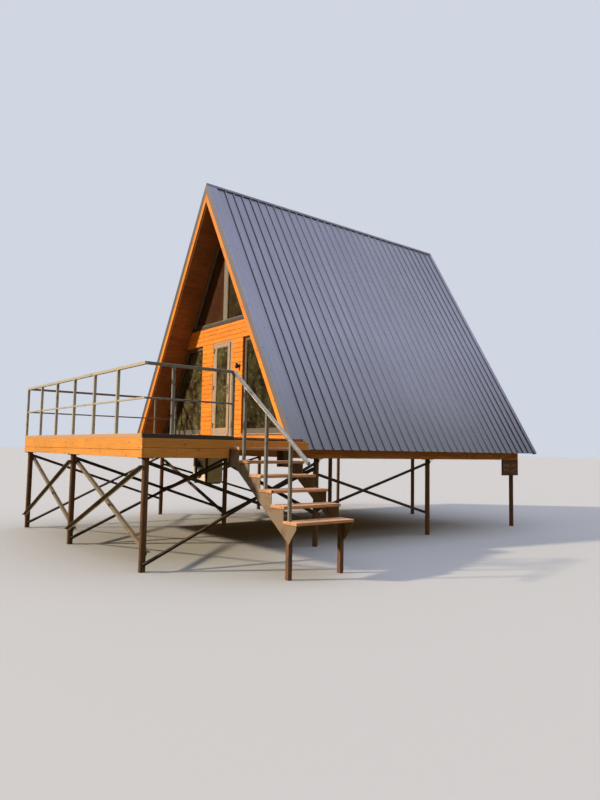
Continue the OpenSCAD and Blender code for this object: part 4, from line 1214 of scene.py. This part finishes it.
def stage():
    mesh = bpy.data.meshes.new("floor")
    corners = rectangle(-FLOOR_REACH, -FLOOR_REACH, FLOOR_REACH, FLOOR_REACH)
    mesh.from_pydata([(x, y, 0) for x, y in corners], [], [(0, 1, 2, 3)])
    mesh.materials.append(Look("floor_paint", specular=0.2).done(FLOOR_COLOUR, 0.9))
    floor = added("floor", mesh)
    floor.location.z = -FLOOR_DROP
    floor.visible_diffuse = False
    floor.visible_glossy = False


def world_light():
    """A pale backdrop for the camera, and for the light an open sky over dark surroundings"""
    world = bpy.data.worlds.new("studio")
    world.use_nodes = True
    SCENE.world = world
    sky = Nodes(world.node_tree)
    backdrop = sky.tree.nodes["Background"]
    backdrop.inputs["Color"].default_value = srgb(*BACKDROP)
    toward = sky.node("ShaderNodeTexCoord").outputs["Generated"]
    upward = sky.node("ShaderNodeVectorMath", {0: toward, 1: SKY_AXIS}, operation="DOT_PRODUCT")
    height = sky.node("ShaderNodeMapRange", {"Value": upward.outputs["Value"], "From Min": -1}).outputs[0]
    ramp = sky.node("ShaderNodeValToRGB", {0: height})
    bands = ramp.color_ramp.elements
    bands[0].position, bands[0].color = SKY_BANDS[0]
    bands[1].position, bands[1].color = SKY_BANDS[-1]
    for at, colour in SKY_BANDS[1:-1]:
        bands.new(at).color = colour
    light = sky.node("ShaderNodeBackground", {"Color": ramp.outputs[0], "Strength": SKY_STRENGTH})
    seen = sky.node("ShaderNodeLightPath").outputs["Is Camera Ray"]
    choose = sky.node("ShaderNodeMixShader", {0: seen, 1: light.outputs[0], 2: backdrop.outputs[0]})
    sky.feed(sky.tree.nodes["World Output"].inputs["Surface"], choose.outputs[0])


def key_light():
    key = bpy.data.lights.new("key", "SUN")
    key.energy = KEY_STRENGTH
    key.angle = KEY_WIDTH
    key.color = KEY_COLOUR
    lamp = added("key", key)
    lamp.rotation_mode = "QUATERNION"
    lamp.rotation_quaternion = KEY_FROM.to_track_quat("Z", "Y")


def camera():
    turn_x, turn_y = polar(1, CAMERA_TURN)
    flat, rise = polar(1, CAMERA_TILT)
    roll_x, roll_y = polar(1, CAMERA_ROLL)
    ahead = Vector((-turn_y * flat, turn_x * flat, rise))
    level = Vector((turn_x, turn_y, 0))
    upright = level.cross(ahead)
    right = level * roll_x + upright * roll_y
    up = upright * roll_x - level * roll_y
    data = bpy.data.cameras.new("camera")
    data.lens = LENS
    data.sensor_width = SENSOR
    eye = added("camera", data)
    eye.matrix_world = place(right, up, -ahead, CAMERA_AT)
    SCENE.camera = eye


SCENE.view_settings.view_transform = "Standard"
camera()
stage()
world_light()
key_light()
kept_nodes()
gable_walls()
roof_panel(1, "roof_panel_right")
roof_panel(-1, "roof_panel_left")
bargeboards("front_bargeboards", -1)
bargeboards("rear_bargeboards", 1)
verge_strips("front_verge_strips", low("front_flashings").y, ROOF_Y0)
verge_strips("rear_verge_strips", ROOF_Y1, high("rear_flashings").y)
lining_trim()
roof_screws()
windows()
door()
door_threshold()
door_handle()
wall_lamp()
deck_planks()
fascias()
railings()
stair()
pile_details()
unit_panels()
unit_fan()
